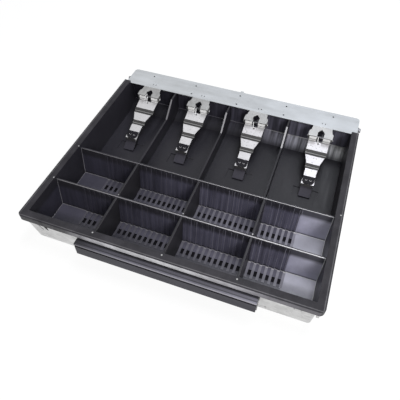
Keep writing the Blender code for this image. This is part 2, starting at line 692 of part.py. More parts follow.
def build_bar(parts, cutters, material):
    top = BAR_TOP
    low = BAR_TOP + BAR_SHEET
    rear = TRAY_SETBACK
    corner = BAR_CORNER
    outline = [(-bar_half, back(bar_setback)), (bar_half, back(bar_setback))]
    outline += arc((bar_half - corner, back(rear) - corner), corner, 0, 90, 4)
    tab = BAR_TAB_WIDTH / 2
    outline += [(tab, back(rear)), (tab, back(rear + BAR_TAB_LENGTH)),
                (-tab, back(rear + BAR_TAB_LENGTH)), (-tab, back(rear))]
    outline += arc((-bar_half + corner, back(rear) - corner), corner, 90, 180, 4)
    bar = prism("clip_bar", outline, up(low), up(top), "Z", parts)

    fold = 0.00015
    flanges = [((-bar_half + corner, back(rear - BAR_SHEET), up(top + BAR_REAR_FLANGE)),
                (bar_half - corner, back(rear) - fold, up(top + BAR_SHEET / 2)))]
    for side in (-1, 1):
        low_x, high_x = sorted((side * (bar_half - fold), side * (bar_half - BAR_SHEET)))
        flanges.append(((low_x, back(bar_setback + 0.002), up(top + BAR_END_FLANGE)),
                        (high_x, back(rear) - corner - 0.001, up(top + BAR_SHEET / 2))))
    join(bar, boxes("bar_flanges", flanges, cutters))

    root = bar_setback + 0.0015
    fold /= 2
    plate_points = [(root, top + BAR_SHEET * 0.4), (bar_setback, top + fold),
                    (tongue_setback, tongue_height(tongue_setback)),
                    (tongue_setback, tongue_height(tongue_setback) + BAR_SHEET),
                    (bar_setback, low - fold), (root, low - BAR_SHEET * 0.4)]
    half = TONGUE_WIDTH / 2
    plate_half = half - BAR_SHEET * 0.3
    ear_top = tongue_height(pivot_setback + EAR_RADIUS) + BAR_SHEET / 2
    ear_points = [(back(pivot_setback + EAR_RADIUS), up(ear_top))]
    ear_points += arc((back(pivot_setback), up(PIVOT_DEPTH)), EAR_RADIUS, 0, -180, 8)
    ear_points.append((back(pivot_setback - EAR_RADIUS), up(ear_top + TONGUE_DROP * 0.3)))
    waist = TONGUE_ROOT / 2
    shoulder = pivot_setback + EAR_RADIUS + 0.0004
    over = up(top - 0.002)
    under = up(low + 0.006)
    for number, place in enumerate(CLIP_PLACES, 1):
        plate = prism(f"tongue_{number}", side_profile(plate_points), place - plate_half,
                      place + plate_half, "X", cutters)
        for side in (-1, 1):
            trim = [(place + side * waist, back(root + 0.001)),
                    (place + side * (waist + TONGUE_FLARE), back(shoulder + 0.0023)),
                    (place + side * (half + 0.0001), back(shoulder)),
                    (place + side * (half + 0.002), back(shoulder)),
                    (place + side * (half + 0.002), back(root + 0.001))]
            cut(plate, prism(f"tongue_trim_{number}_{side}", trim, under, over, "Z", cutters))
            inner, outer = sorted((place + side * (half - BAR_SHEET), place + side * half))
            join(plate, prism(f"tongue_ear_{number}_{side}", ear_points, inner, outer, "X", cutters))
        opening = TONGUE_OPENING / 2
        mouth = back(tongue_setback - 0.002)
        window = [(place - opening, mouth), (place + opening, mouth),
                  (place + opening, back(tongue_apex - 0.005)), (place + 0.0008, back(tongue_apex)),
                  (place - 0.0008, back(tongue_apex)), (place - opening, back(tongue_apex - 0.005))]
        cut(plate, prism(f"tongue_window_{number}", window, under, over, "Z", cutters))
        join(bar, plate)
    holes = [(x, rear_hole_setback) for x in REAR_HOLE_PLACES]
    holes += [(x, front_hole_setback) for x in FRONT_HOLE_PLACES]
    for number, (x, setback) in enumerate(holes, 1):
        y = back(setback)
        cut(bar, rod(f"bar_hole_{number}", (x, y, up(low + 0.001)), (x, y, up(top - 0.001)),
                     BAR_HOLE_RADIUS, 12, cutters))
    slits = []
    for place in CLIP_PLACES:
        for side in (-1, 1):
            x = place + side * SLIT_SPREAD / 2
            slits.append(((x - SLIT_WIDTH / 2, back(slit_setback), up(low + 0.001)),
                          (x + SLIT_WIDTH / 2, back(slit_setback + SLIT_LENGTH), up(top - 0.001))))
    cut(bar, boxes("bar_slits", slits, cutters))
    for side in (-1, 1):
        cut(bar, screw_bore(side, "bar", cutters))
    cut(bar, rod("ear_bores", (-bar_half, back(pivot_setback), up(PIVOT_DEPTH)),
                 (bar_half, back(pivot_setback), up(PIVOT_DEPTH)), PIN_RADIUS + HOLE_GAP, 15, cutters))
    dress(bar, material, 30)
    return bar


def build_bar_screws(parts, cutters, material):
    """Flanged screws through the bar's ends, the tray's lugs and the pan's side walls."""
    for side in (-1, 1):
        word = "left" if side < 0 else "right"
        face = side * (bar_half + SEAT_GAP)
        tip = side * (body_half - 0.0025)
        centre = (back(screw_setback), up(SCREW_DEPTH))
        washer_end = face + side * 0.0012
        head_end = face + side * SCREW_HEAD
        head = rod(f"bar_screw_{word}", (face, *centre), (washer_end, *centre),
                   SCREW_HEAD_RADIUS + 0.0008, 20, parts)
        crown = rod(f"bar_screw_crown_{word}", (face, *centre), (head_end, *centre),
                    SCREW_HEAD_RADIUS, 6, cutters)
        shank = rod(f"bar_screw_shank_{word}", (tip, *centre), (face + side * 0.0005, *centre),
                    SCREW_RADIUS, 16, cutters)
        join(head, crown, shank)
        dress(head, material, 30)


# A clip's own frame: origin on its pivot, -Y along the arm towards its tip, +Z off its top face.
arm_top = -ARM_DROP
arm_low = arm_top - ARM_SHEET
arm_turn = math.radians(ARM_ANGLE)


def arm_place(obj, place):
    obj.location = (place, back(pivot_setback), up(PIVOT_DEPTH))
    obj.rotation_euler = (arm_turn, 0.0, 0.0)


def in_arm_frame(setback, depth):
    """A point of the tray, as Y and Z in a clip's own frame."""
    y = setback - pivot_setback
    z = PIVOT_DEPTH - depth
    return (y * math.cos(arm_turn) + z * math.sin(arm_turn), z * math.cos(arm_turn) - y * math.sin(arm_turn))


def dip(distance, start, length):
    """Depth of a pressed band at a distance along the arm: a smooth round-bottomed channel."""
    share = (distance - start) / length
    if share <= 0.0 or share >= 1.0:
        return 0.0
    return GROOVE_DIP * math.sin(math.pi * share)


def arm_profile():
    """The arm's sheet seen from the side, with its two pressed bands and its bent lip."""
    stations = [0.0]
    for start, length in zip(BAND_STARTS, BAND_LENGTHS):
        stations += [start + length * step / CURVE_STEPS for step in range(CURVE_STEPS + 1)]
    stations.append(ARM_REACH)
    upper = []
    for station in stations:
        sink = sum(dip(station, start, length) for start, length in zip(BAND_STARTS, BAND_LENGTHS))
        upper.append((-station, arm_top - sink))
    lower = [(y, z - ARM_SHEET) for y, z in upper]
    upper.append((-ARM_REACH - ARM_LIP, arm_top - ARM_LIP))
    lower.append((-ARM_REACH - ARM_LIP * 0.4, arm_low - ARM_LIP * 1.1))
    return upper + lower[::-1]


def arm_outline():
    """The arm seen from above, from its knuckles to its tip; the bands stand out at both sides."""
    half = ARM_WIDTH / 2
    narrow = FOOT_WIDTH / 2
    step = 0.0005
    first, second = BAND_STARTS
    first_end = first + BAND_LENGTHS[0]
    second_end = second + BAND_LENGTHS[1]
    tip = ARM_REACH + ARM_LIP
    right = [(half, ARM_KNUCKLE_RADIUS + 0.002), (half, -0.0040), (half - 0.0004, -first),
             (half - 0.0004 + BAND_FLARE, -first - step),
             (half - 0.0014 + BAND_FLARE, -first_end + step), (half - 0.0014, -first_end),
             (narrow + 0.0011, -second), (narrow + 0.0011 + BAND_FLARE, -second - step),
             (narrow + 0.0004 + BAND_FLARE, -second_end + step), (narrow + 0.0004, -second_end),
             (narrow, -ARM_REACH + 0.0125), (narrow + 0.0006, -ARM_REACH + 0.004),
             (narrow + 0.0006, -ARM_REACH), (narrow - 0.0008, -tip - 0.001)]
    left = [(-x, y) for x, y in reversed(right)]
    return right + left


def build_arm(number, place, parts, cutters, material):
    reach = ARM_WIDTH / 2 + 0.002
    arm = prism(f"clip_arm_{number}", arm_profile(), -reach, reach, "X", parts)
    outline = prism(f"arm_outline_{number}", arm_outline(), -0.012, 0.012, "Z", cutters)
    combine(arm, outline, "INTERSECT")
    half = ARM_WIDTH / 2 - 0.0001
    hollow = half - ARM_SHEET
    knuckle = rod(f"arm_knuckle_{number}", (-half, 0.0, 0.0), (half, 0.0, 0.0),
                  ARM_KNUCKLE_RADIUS, 24, cutters)
    cavity = rod(f"arm_cavity_{number}", (-hollow, 0.0, 0.0), (hollow, 0.0, 0.0),
                 ARM_KNUCKLE_CAVITY, 24, cutters)
    join(arm, knuckle)
    opening = TONGUE_OPENING / 2
    notch = box(f"arm_notch_{number}", (-opening, -0.0062, -0.010),
                (opening, ARM_KNUCKLE_RADIUS + 0.004, 0.010), cutters)
    eyelet = rod(f"arm_eyelet_{number}", (0.0, -0.0090, -0.010), (0.0, -0.0090, 0.0), 0.0012, 12, cutters)
    window = box(f"arm_window_{number}", (-0.0042, -ARM_REACH + 0.0040, -0.012),
                 (0.0042, -ARM_REACH + 0.0092, 0.0), cutters)
    bore = rod(f"arm_bore_{number}", (-reach, 0.0, 0.0), (reach, 0.0, 0.0),
               PIN_RADIUS + HOLE_GAP, 16, cutters)
    cut(arm, cavity, notch, eyelet, window, bore)
    dress(arm, material, 30)
    for piece in (arm, outline, knuckle, cavity, notch, eyelet, window, bore):
        arm_place(piece, place)
    return arm


def build_pin(number, place, parts, material):
    reach = TONGUE_WIDTH / 2 + PIN_OVERHANG
    pin = rod(f"clip_pin_{number}", (-reach, 0.0, 0.0), (reach, 0.0, 0.0), PIN_RADIUS, 16, parts)
    pin.location = (place, back(pivot_setback), up(PIVOT_DEPTH))
    round_edges(pin, 0.0003, 2)
    dress(pin, material, 30)


def spring_points():
    """The spring's centre line: a leg on the arm, the coil round the pin, a leg under the tongue."""
    wire = SPRING_WIRE / 2
    leg_tip = (-0.0100, arm_top + wire + SEAT_GAP)
    distance = math.hypot(*leg_tip)
    bearing = math.atan2(leg_tip[1], -leg_tip[0])
    first = bearing + math.acos(SPRING_RADIUS / distance)
    last = math.pi / 2 + 2 * math.pi * SPRING_TURNS
    width = SPRING_PITCH * SPRING_TURNS
    steps = CURL_POINTS * SPRING_TURNS + 1
    points = [(-width / 2, *leg_tip)]
    for step in range(steps + 1):
        share = step / steps
        angle = first + (last - first) * share
        points.append((-width / 2 + width * share, -SPRING_RADIUS * math.cos(angle),
                       SPRING_RADIUS * math.sin(angle)))
    points.append((width / 2, 0.0055, SPRING_RADIUS))
    return points


def least_self_gap(points, radius):
    """Smallest clear distance between stretches of one tube that lie well apart along it."""
    dense = []
    for a, b in zip(points, points[1:]):
        for step in range(6):
            dense.append(Vector(a).lerp(Vector(b), step / 6))
    lengths = [0.0]
    for a, b in zip(dense, dense[1:]):
        lengths.append(lengths[-1] + (b - a).length)
    apart = 6 * radius
    gaps = [(dense[i] - dense[j]).length for i in range(len(dense)) for j in range(i + 1, len(dense))
            if lengths[j] - lengths[i] > apart]
    return min(gaps) - 2 * radius


def build_spring(number, place, parts, material):
    points = spring_points()
    curve = bpy.data.curves.new(f"clip_spring_{number}", "CURVE")
    curve.dimensions = "3D"
    curve.bevel_depth = SPRING_WIRE / 2
    curve.bevel_resolution = 1
    curve.use_fill_caps = True
    spline = curve.splines.new("POLY")
    spline.points.add(len(points) - 1)
    for point, co in zip(spline.points, points):
        point.co = (*co, 1.0)
    spring = bpy.data.objects.new(f"clip_spring_{number}", curve)
    parts.objects.link(spring)
    curve.materials.append(material)
    arm_place(spring, place)


def foot_profile():
    """The foot's block under the arm's tip, reaching down to the pocket in the compartment floor."""
    under = arm_low - SEAT_GAP
    ground = COMPARTMENT_DEPTH + FOOT_POCKET_DEPTH - SEAT_GAP
    nose = foot_front()
    front_low = in_arm_frame(nose, ground - 0.0015)
    corner = in_arm_frame(nose + 0.0015, ground)
    heel = in_arm_frame(nose + 0.0130, ground)
    heel_up = in_arm_frame(nose + 0.0165, ground - 0.0025)
    return [(-ARM_REACH + 0.0135, under), (-ARM_REACH + 0.0010, under),
            (-ARM_REACH - 0.0012, under - 0.0030), (-ARM_REACH - 0.0030, under - 0.0042),
            front_low, corner, heel, heel_up]


def build_foot(number, place, parts, cutters, material):
    half = FOOT_WIDTH / 2
    foot = prism(f"clip_foot_{number}", foot_profile(), -half, half, "X", parts)
    post = box(f"foot_post_{number}", (-0.0039, -ARM_REACH + 0.0043, arm_low - 0.0015),
               (0.0039, -ARM_REACH + 0.0089, arm_top + SEAT_GAP + 0.0004), cutters)
    cap_half = half + 0.0001
    cap_rear = -ARM_REACH + 0.0125
    cap_points = [(cap_half, cap_rear), (-cap_half, cap_rear)]
    bend = 0.0050
    bend_y = -ARM_REACH + 0.0004 + bend
    cap_points += arc((-cap_half + bend, bend_y), bend, 180, 270, CURVE_STEPS // 2)
    cap_points += arc((cap_half - bend, bend_y), bend, 270, 360, CURVE_STEPS // 2)
    cap_low = arm_top + SEAT_GAP
    cap = prism(f"foot_cap_{number}", cap_points, cap_low, cap_low + FOOT_CAP, "Z", cutters)
    join(foot, post, cap)
    dress(foot, material, 30)
    for piece in (foot, post, cap):
        arm_place(piece, place)


def build_divider(name, x, front_face, rear_face, parts, cutters, material):
    """A lift-out plate: its ends stand in wall grooves and its tab in a floor slot."""
    half = DIVIDER_THICKNESS / 2
    bottom = COMPARTMENT_DEPTH - SEAT_GAP
    top = WALL_TOP
    points = [(front_face(top) + SEAT_GAP, top), (front_face(bottom) + SEAT_GAP, bottom),
              (rear_face(bottom) - SEAT_GAP, bottom), (rear_face(top) - SEAT_GAP, top)]
    plate = prism(name, side_profile(points), x - half, x + half, "X", parts)
    first, last = slot_range(rear_face)
    tab_low = up(COMPARTMENT_DEPTH + SLOT_DEPTH - SEAT_GAP)
    tab = box(name + "_tab", (x - half, back(first + SEAT_GAP), tab_low),
              (x + half, back(last - SEAT_GAP), up(bottom - 0.001)), cutters)
    join(plate, tab)
    dress(plate, material)


def main():
    clear_scene()
    parts = make_collection("cash_register_tray")
    cutters = make_collection("cutters")
    plastic = make_material("tray_plastic", (0.045, 0.043, 0.055), 0.38, 0.0)
    divider_plastic = make_material("divider_plastic", (0.040, 0.039, 0.048), 0.40, 0.0)
    black = make_material("handle_plastic", (0.030, 0.030, 0.036), 0.25, 0.0)
    rubber = make_material("foot_plastic", (0.035, 0.035, 0.045), 0.45, 0.0)
    galvanised = make_material("galvanised_steel", (0.62, 0.63, 0.64), 0.42, 1.0)
    plated = make_material("plated_steel", (0.70, 0.71, 0.74), 0.34, 1.0)
    arm_steel = make_material("clip_steel", (0.86, 0.86, 0.88), 0.28, 1.0)
    wire = make_material("spring_wire", (0.75, 0.75, 0.77), 0.30, 1.0)
    dark_steel = make_material("dark_steel", (0.16, 0.16, 0.17), 0.40, 1.0)

    build_tray(parts, cutters, plastic)
    build_pan(parts, cutters, galvanised)
    build_handle(parts, cutters, black, galvanised, dark_steel)
    build_runners(parts, galvanised)
    build_bar(parts, cutters, plated)
    build_bar_screws(parts, cutters, dark_steel)
    for number, place in enumerate(CLIP_PLACES, 1):
        build_arm(number, place, parts, cutters, arm_steel)
        build_pin(number, place, parts, dark_steel)
        build_spring(number, place, parts, wire)
        build_foot(number, place, parts, cutters, rubber)
    for row, (front_face, rear_face) in COIN_ROWS.items():
        for number, index in enumerate(DIVIDER_GROOVES, 1):
            build_divider(f"{row}_coin_divider_{number}", groove_x(index), front_face, rear_face,
                          parts, cutters, divider_plastic)
    gap = least_self_gap(spring_points(), SPRING_WIRE / 2)
    print(f"least gap of a spring to itself: {gap * 1000:.2f} mm")


main()
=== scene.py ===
import json
from math import acos, atan2, cos, hypot, pi, radians, sin

import bpy
from mathutils import Matrix, Vector

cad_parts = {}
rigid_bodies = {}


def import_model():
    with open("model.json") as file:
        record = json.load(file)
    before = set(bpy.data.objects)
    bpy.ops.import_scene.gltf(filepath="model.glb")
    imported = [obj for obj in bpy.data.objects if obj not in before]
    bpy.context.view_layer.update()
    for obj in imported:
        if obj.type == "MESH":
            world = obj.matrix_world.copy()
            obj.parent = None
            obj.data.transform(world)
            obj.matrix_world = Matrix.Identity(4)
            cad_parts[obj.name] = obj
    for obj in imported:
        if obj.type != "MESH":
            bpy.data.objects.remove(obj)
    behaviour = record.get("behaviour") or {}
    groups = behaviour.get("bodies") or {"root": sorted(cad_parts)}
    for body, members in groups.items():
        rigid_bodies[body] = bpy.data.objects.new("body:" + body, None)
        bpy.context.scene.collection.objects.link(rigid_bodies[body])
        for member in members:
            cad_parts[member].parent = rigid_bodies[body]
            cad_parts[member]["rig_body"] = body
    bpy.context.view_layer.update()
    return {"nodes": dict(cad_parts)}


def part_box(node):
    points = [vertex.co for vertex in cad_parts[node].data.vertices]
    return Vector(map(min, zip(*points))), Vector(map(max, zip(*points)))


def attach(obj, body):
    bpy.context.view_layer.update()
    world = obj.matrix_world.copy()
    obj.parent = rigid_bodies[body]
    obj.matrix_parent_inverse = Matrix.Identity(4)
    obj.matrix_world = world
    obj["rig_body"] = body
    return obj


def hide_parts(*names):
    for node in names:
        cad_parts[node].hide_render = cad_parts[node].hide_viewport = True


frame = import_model()
nodes = frame["nodes"]
print("frame loaded,", len(nodes), "nodes")


# handling of objects

handling = {"mergeWithin": 0.00001, "flatWithin": 0.6, "smooth": 40, "domeSegments": 16, "domeRings": 8}


def letGo():
    if bpy.context.object and bpy.context.object.mode != "OBJECT":
        bpy.ops.object.mode_set(mode="OBJECT")
    bpy.ops.object.select_all(action="DESELECT")


def hold(piece):
    letGo()
    piece.select_set(True)
    bpy.context.view_layer.objects.active = piece


def startFromNode(node, name):
    # a merged copy of the node's mesh, with its flat faces made whole
    piece = bpy.data.objects.new(name, nodes[node].data.copy())
    bpy.context.scene.collection.objects.link(piece)
    piece.data.materials.clear()
    hold(piece)
    bpy.ops.object.mode_set(mode="EDIT")
    bpy.ops.mesh.select_all(action="SELECT")
    bpy.ops.mesh.remove_doubles(threshold=handling["mergeWithin"])
    bpy.ops.mesh.dissolve_limited(angle_limit=radians(handling["flatWithin"]))
    bpy.ops.object.mode_set(mode="OBJECT")
    if piece.data.has_custom_normals:
        bpy.ops.mesh.customdata_custom_splitnormals_clear()
    return piece


def addFinishes(piece, *materials):
    for material in materials:
        piece.data.materials.append(material)


def slotOf(piece, finishName):
    # the piece's slot with the material of this name, or -1
    return piece.data.materials.find(finishName)


def softenEdges(piece, width, segments=2, sharpness=32, shortest=0.001, where=None, name="", clamp=False):
    # rounds the sharp edges that are long enough, or those of them that where() picks, in the named finish
    mesh = piece.data
    around = {}
    for face in mesh.polygons:
        for key in face.edge_keys:
            around.setdefault(key, []).append(face)
    old = mesh.attributes.get("bevel_weight_edge")
    if old:
        mesh.attributes.remove(old)
    weights = mesh.attributes.new("bevel_weight_edge", "FLOAT", "EDGE")
    for edge in mesh.edges:
        faces = around.get(edge.key, [])
        if len(faces) != 2 or faces[0].normal.angle(faces[1].normal, 0) < radians(sharpness):
            continue
        first, second = (mesh.vertices[i].co for i in edge.vertices)
        if (first - second).length < shortest:
            continue
        hollow = (faces[1].center - first).dot(faces[0].normal) > 0
        if where is None or where((first + second) / 2, (second - first).normalized(), hollow):
            weights.data[edge.index].value = 1.0
    hold(piece)
    rounding = piece.modifiers.new("roundEdges", "BEVEL")
    rounding.limit_method = "WEIGHT"
    rounding.width = width
    rounding.segments = segments
    rounding.use_clamp_overlap = clamp
    rounding.material = slotOf(piece, name)
    rounding.miter_outer = "MITER_SHARP"
    bpy.ops.object.modifier_apply(modifier=rounding.name)


def colourFaces(piece, finishName, test):
    # gives the faces that the test picks, by middle and normal, a finish of their own
    slot = slotOf(piece, finishName)
    for face in piece.data.polygons:
        if test(face.center, face.normal):
            face.material_index = slot


def openForParts(piece):
    # edit mode with nothing selected, so that what is added next is selected alone
    hold(piece)
    bpy.ops.object.mode_set(mode="EDIT")
    bpy.ops.mesh.select_all(action="DESELECT")


def colourParts(piece, finishName):
    piece.active_material_index = slotOf(piece, finishName)
    bpy.ops.object.material_slot_assign()


def closeParts(piece, finishName):
    colourParts(piece, finishName)
    bpy.ops.object.mode_set(mode="OBJECT")


def cutAcross(piece, spot, normal):
    # marks the piece's faces along a plane, without changing its shape
    hold(piece)
    bpy.ops.object.mode_set(mode="EDIT")
    bpy.ops.mesh.select_all(action="SELECT")
    bpy.ops.mesh.bisect(plane_co=spot, plane_no=normal)
    bpy.ops.object.mode_set(mode="OBJECT")


def addDome(piece, spot, radius, stretch, finishName):
    openForParts(piece)
    bpy.ops.mesh.primitive_uv_sphere_add(segments=handling["domeSegments"], ring_count=handling["domeRings"],
                                         radius=radius, location=spot)
    bpy.ops.transform.resize(value=stretch, center_override=spot)
    closeParts(piece, finishName)


def place(piece, node, slot, smooth=handling["smooth"], keep=False):
    # gives a finished piece its material, its body and the node it stands for
    if not keep:
        piece.data.materials.clear()
        piece.data.materials.append(finish[slot])
    hold(piece)
    bpy.ops.object.shade_smooth_by_angle(angle=radians(smooth))
    evening = piece.modifiers.new("evenShading", "WEIGHTED_NORMAL")
    evening.keep_sharp = True
    bpy.ops.object.modifier_apply(modifier=evening.name)
    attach(piece, nodes[node]["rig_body"])
    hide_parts(node)


def dressNode(node, name, slot, rounding=None):
    # a piece that is its node with rounded edges, in one finish
    piece = startFromNode(node, name)
    if rounding:
        softenEdges(piece, *rounding)
    place(piece, node, slot)


# handling of materials

def startMaterial(name, colour, roughness, metallic=0.0, specular=0.5):
    material = bpy.data.materials.new(name)
    material.use_nodes = True
    tree = material.node_tree
    shader = tree.nodes["Principled BSDF"]
    shader.inputs["Base Color"].default_value = (*colour, 1)
    shader.inputs["Roughness"].default_value = roughness
    shader.inputs["Metallic"].default_value = metallic
    shader.inputs["Specular IOR Level"].default_value = specular
    return material, tree, shader


def addNode(tree, kind, values=None, **settings):
    node = tree.nodes.new(kind)
    for key, value in settings.items():
        setattr(node, key, value)
    for key, value in (values or {}).items():
        node.inputs[key].default_value = value
    return node


def objectPlace(tree, stretch=(1, 1, 1)):
    # the object's own coordinates, stretched
    source = addNode(tree, "ShaderNodeTexCoord")
    mapping = addNode(tree, "ShaderNodeMapping", {"Scale": stretch})
    tree.links.new(source.outputs["Object"], mapping.inputs["Vector"])
    return mapping.outputs["Vector"]


def noise(tree, scale, detail=3, rough=0.5, stretch=(1, 1, 1)):
    node = addNode(tree, "ShaderNodeTexNoise", {"Scale": scale, "Detail": detail, "Roughness": rough})
    tree.links.new(objectPlace(tree, stretch), node.inputs["Vector"])
    return node.outputs["Fac"]


def spread(tree, value, low, high, first, last):
    # maps low..high of a value to first..last
    node = addNode(tree, "ShaderNodeMapRange",
                   {"From Min": low, "From Max": high, "To Min": first, "To Max": last})
    tree.links.new(value, node.inputs["Value"])
    return node.outputs["Result"]


def blendColours(tree, share, first, second, mode="MIX"):
    # share is a number or a socket, first and second are colours or sockets
    node = addNode(tree, "ShaderNodeMix", data_type="RGBA", blend_type=mode)
    if isinstance(share, float):
        node.inputs["Factor"].default_value = share
    else:
        tree.links.new(share, node.inputs["Factor"])
    for name, colour in (("A", first), ("B", second)):
        socket = [s for s in node.inputs if s.name == name and s.type == "RGBA"][0]
        if isinstance(colour, tuple):
            socket.default_value = (*colour, 1)
        else:
            tree.links.new(colour, socket)
    return [s for s in node.outputs if s.type == "RGBA"][0]


def reckon(tree, operation, first, second):
    node = addNode(tree, "ShaderNodeMath", operation=operation)
    for index, value in enumerate((first, second)):
        if isinstance(value, (int, float)):
            node.inputs[index].default_value = value
        else:
            tree.links.new(value, node.inputs[index])
    return node.outputs["Value"]


def surfaceBump(tree, shader, height, strength, distance):
    bump = addNode(tree, "ShaderNodeBump", {"Strength": strength, "Distance": distance})
    tree.links.new(height, bump.inputs["Height"])
    tree.links.new(bump.outputs["Normal"], shader.inputs["Normal"])


def axis(tree, name):
    split = addNode(tree, "ShaderNodeSeparateXYZ")
    tree.links.new(objectPlace(tree), split.inputs["Vector"])
    return split.outputs[name]


def rampAlong(tree, value, low, high, stops):
    # colours along a value: stops are (value, colour), from low to high
    ramp = addNode(tree, "ShaderNodeValToRGB")
    tree.links.new(spread(tree, value, low, high, 0, 1), ramp.inputs["Fac"])
    elements = ramp.color_ramp.elements
    while len(elements) > 1:
        elements.remove(elements[-1])
    for index, (spot, colour) in enumerate(stops):
        share = (spot - low) / (high - low)
        element = elements[0] if index == 0 else elements.new(share)
        element.position = share
        element.color = (*colour, 1)
    return ramp.outputs["Color"]


def grey(level):
    return (level, level, level)


cast = {"blue": 1.16, "green": 0.955, "greenGain": 0.07}
acrossTray = (-0.19, 0.19)
midNoise = (0.3, 0.7)           # the part of a noise's range that is used


def tinted(level, blue=cast["blue"]):
    # a grey of this level with the plastic's cool cast, which fades as it gets lighter
    green = cast["green"] + cast["greenGain"] * level
    return (level, level * green, level * (1 + (blue - 1) * (1 - level)))


def byAcross(tree, levels, blue=cast["blue"]):
    # a grey that changes from the left to the right of the tray; in the plastics it is mostly painted light
    # and shade, lighter where the light falls
    return rampAlong(tree, axis(tree, "X"), *acrossTray, [(x, tinted(level, blue)) for x, level in levels])


# stage

studio = {
    "aim": (0.02, 0.02, 0.02), "skyStrength": 0.55,
    "floorSize": 8.0, "floorHeight": -0.0002,
    "floorColour": grey(0.90), "floorWhite": 0.86, "floorRough": 0.9,
    # place, size, power and tint of each softbox
    "lamps": {
        "rearSoftbox": ((0.29, 0.87, 1.50), (0.66, 0.50), 8.0, (0.88, 0.92, 1.0)),
        "topSoftbox": ((0.22, 0.08, 1.50), (0.50, 0.36), 9.0, (0.94, 0.95, 1.0)),
        "frontSoftbox": ((0.75, -1.10, 1.05), (0.60, 0.50), 16.0, (1.0, 0.99, 0.98)),
    },
}
view = {
    "place": (0.1241, -0.3830, 0.4638), "forward": (-0.2085, 0.5998, -0.7725),
    "roll": 0.90, "lens": 38.5, "sensor": 36.0,
}


def seenRays(tree):
    # 1 for what the camera sees directly, in a reflection or through something clear
    rays = addNode(tree, "ShaderNodeLightPath")
    total = reckon(tree, "MAXIMUM", rays.outputs["Is Camera Ray"], rays.outputs["Is Glossy Ray"])
    return reckon(tree, "MAXIMUM", total, rays.outputs["Is Transmission Ray"])


def setCamera():
    camera = bpy.data.objects.new("camera", bpy.data.cameras.new("camera"))
    bpy.context.scene.collection.objects.link(camera)
    camera.data.sensor_width = view["sensor"]
    camera.data.lens = view["lens"]
    forward = Vector(view["forward"]).normalized()
    right = forward.cross(Vector((0, 0, 1))).normalized()
    upward = right.cross(forward).normalized()
    roll = radians(view["roll"])
    turned = (right * cos(roll) + upward * sin(roll), upward * cos(roll) - right * sin(roll), -forward)
    stand = Matrix(turned).transposed().to_4x4()
    stand.translation = Vector(view["place"])
    camera.matrix_world = stand
    bpy.context.scene.camera = camera


def setLamps():
    for name, (spot, size, power, tint) in studio["lamps"].items():
        lamp = bpy.data.objects.new(name, bpy.data.lights.new(name, "AREA"))
        bpy.context.scene.collection.objects.link(lamp)
        lamp.data.shape = "RECTANGLE"
        lamp.data.size, lamp.data.size_y = size
        lamp.data.energy = power
        lamp.data.color = tint
        lamp.location = spot
        lamp.rotation_euler = (Vector(studio["aim"]) - Vector(spot)).to_track_quat("-Z", "Y").to_euler()


def setWorldAndFloor():
    world = bpy.data.worlds.new("studio")
    world.use_nodes = True
    bpy.context.scene.world = world
    tree = world.node_tree
    background = tree.nodes["Background"]
    background.inputs["Color"].default_value = (*grey(1), 1)
    strength = spread(tree, seenRays(tree), 0, 1, studio["skyStrength"], 1)
    tree.links.new(strength, background.inputs["Strength"])

    bpy.ops.mesh.primitive_plane_add(size=studio["floorSize"], location=(0, 0, studio["floorHeight"]))
    floor = bpy.context.object
    floor.name = "floor"
    material, tree, shader = startMaterial("floorPaint", studio["floorColour"], studio["floorRough"],
                                           specular=0.0)
    glow = addNode(tree, "ShaderNodeEmission", {"Strength": 1.0})
    mixer = addNode(tree, "ShaderNodeMixShader")
    tree.links.new(spread(tree, seenRays(tree), 0, 1, 0, studio["floorWhite"]), mixer.inputs["Fac"])
    tree.links.new(shader.outputs["BSDF"], mixer.inputs[1])
    tree.links.new(glow.outputs["Emission"], mixer.inputs[2])
    tree.links.new(mixer.outputs["Shader"], tree.nodes["Material Output"].inputs["Surface"])
    floor.data.materials.append(material)


letGo()
setCamera()
setLamps()
setWorldAndFloor()
bpy.context.scene.view_settings.view_transform = "Standard"
print("stage set")


# kinds of finish: a noise is its scale, detail, roughness and stretch, a bump its strength and depth

plasticDetail = {
    "patchNoise": (48, 4, 0.6), "patchColour": (0.003, 0.003, 0.004),
    "streakNoise": (50, 3, 0.5, (5, 0.4, 0.25)), "streakColour": (0.006, 0.006, 0.008),
    "lastRib": (0.1350, 0.1360),
    # the fade, the foot line and the bands across the tray are painted shade; the glints and pips are
    # painted highlights
    "fadeShare": 0.88, "footShadeShare": 0.65, "shadeLevel": 0.014, "shadeLineColour": (0.010, 0.010, 0.012),
    "glintWidth": (0.0006, 0.0009), "glintShare": 0.75,
    "glintLevels": [(-0.17, 0.18), (0.0, 0.24), (0.07, 0.36), (0.10, 0.50)],
    "speckNoise": (1500, 1, 0.5), "speckSpan": (0.72, 0.76), "speckLevel": 0.14,
    "pipGlintWidth": (0.0006, 0.0012), "pipGlintColour": grey(0.36), "roughDown": 0.08, "roughUp": 0.10,
    "sheenNoise": (30, 3, 0.6), "skinNoise": (1900, 2, 0.6), "skin": (0.08, 0.0002), "lightBlue": 1.05,
}


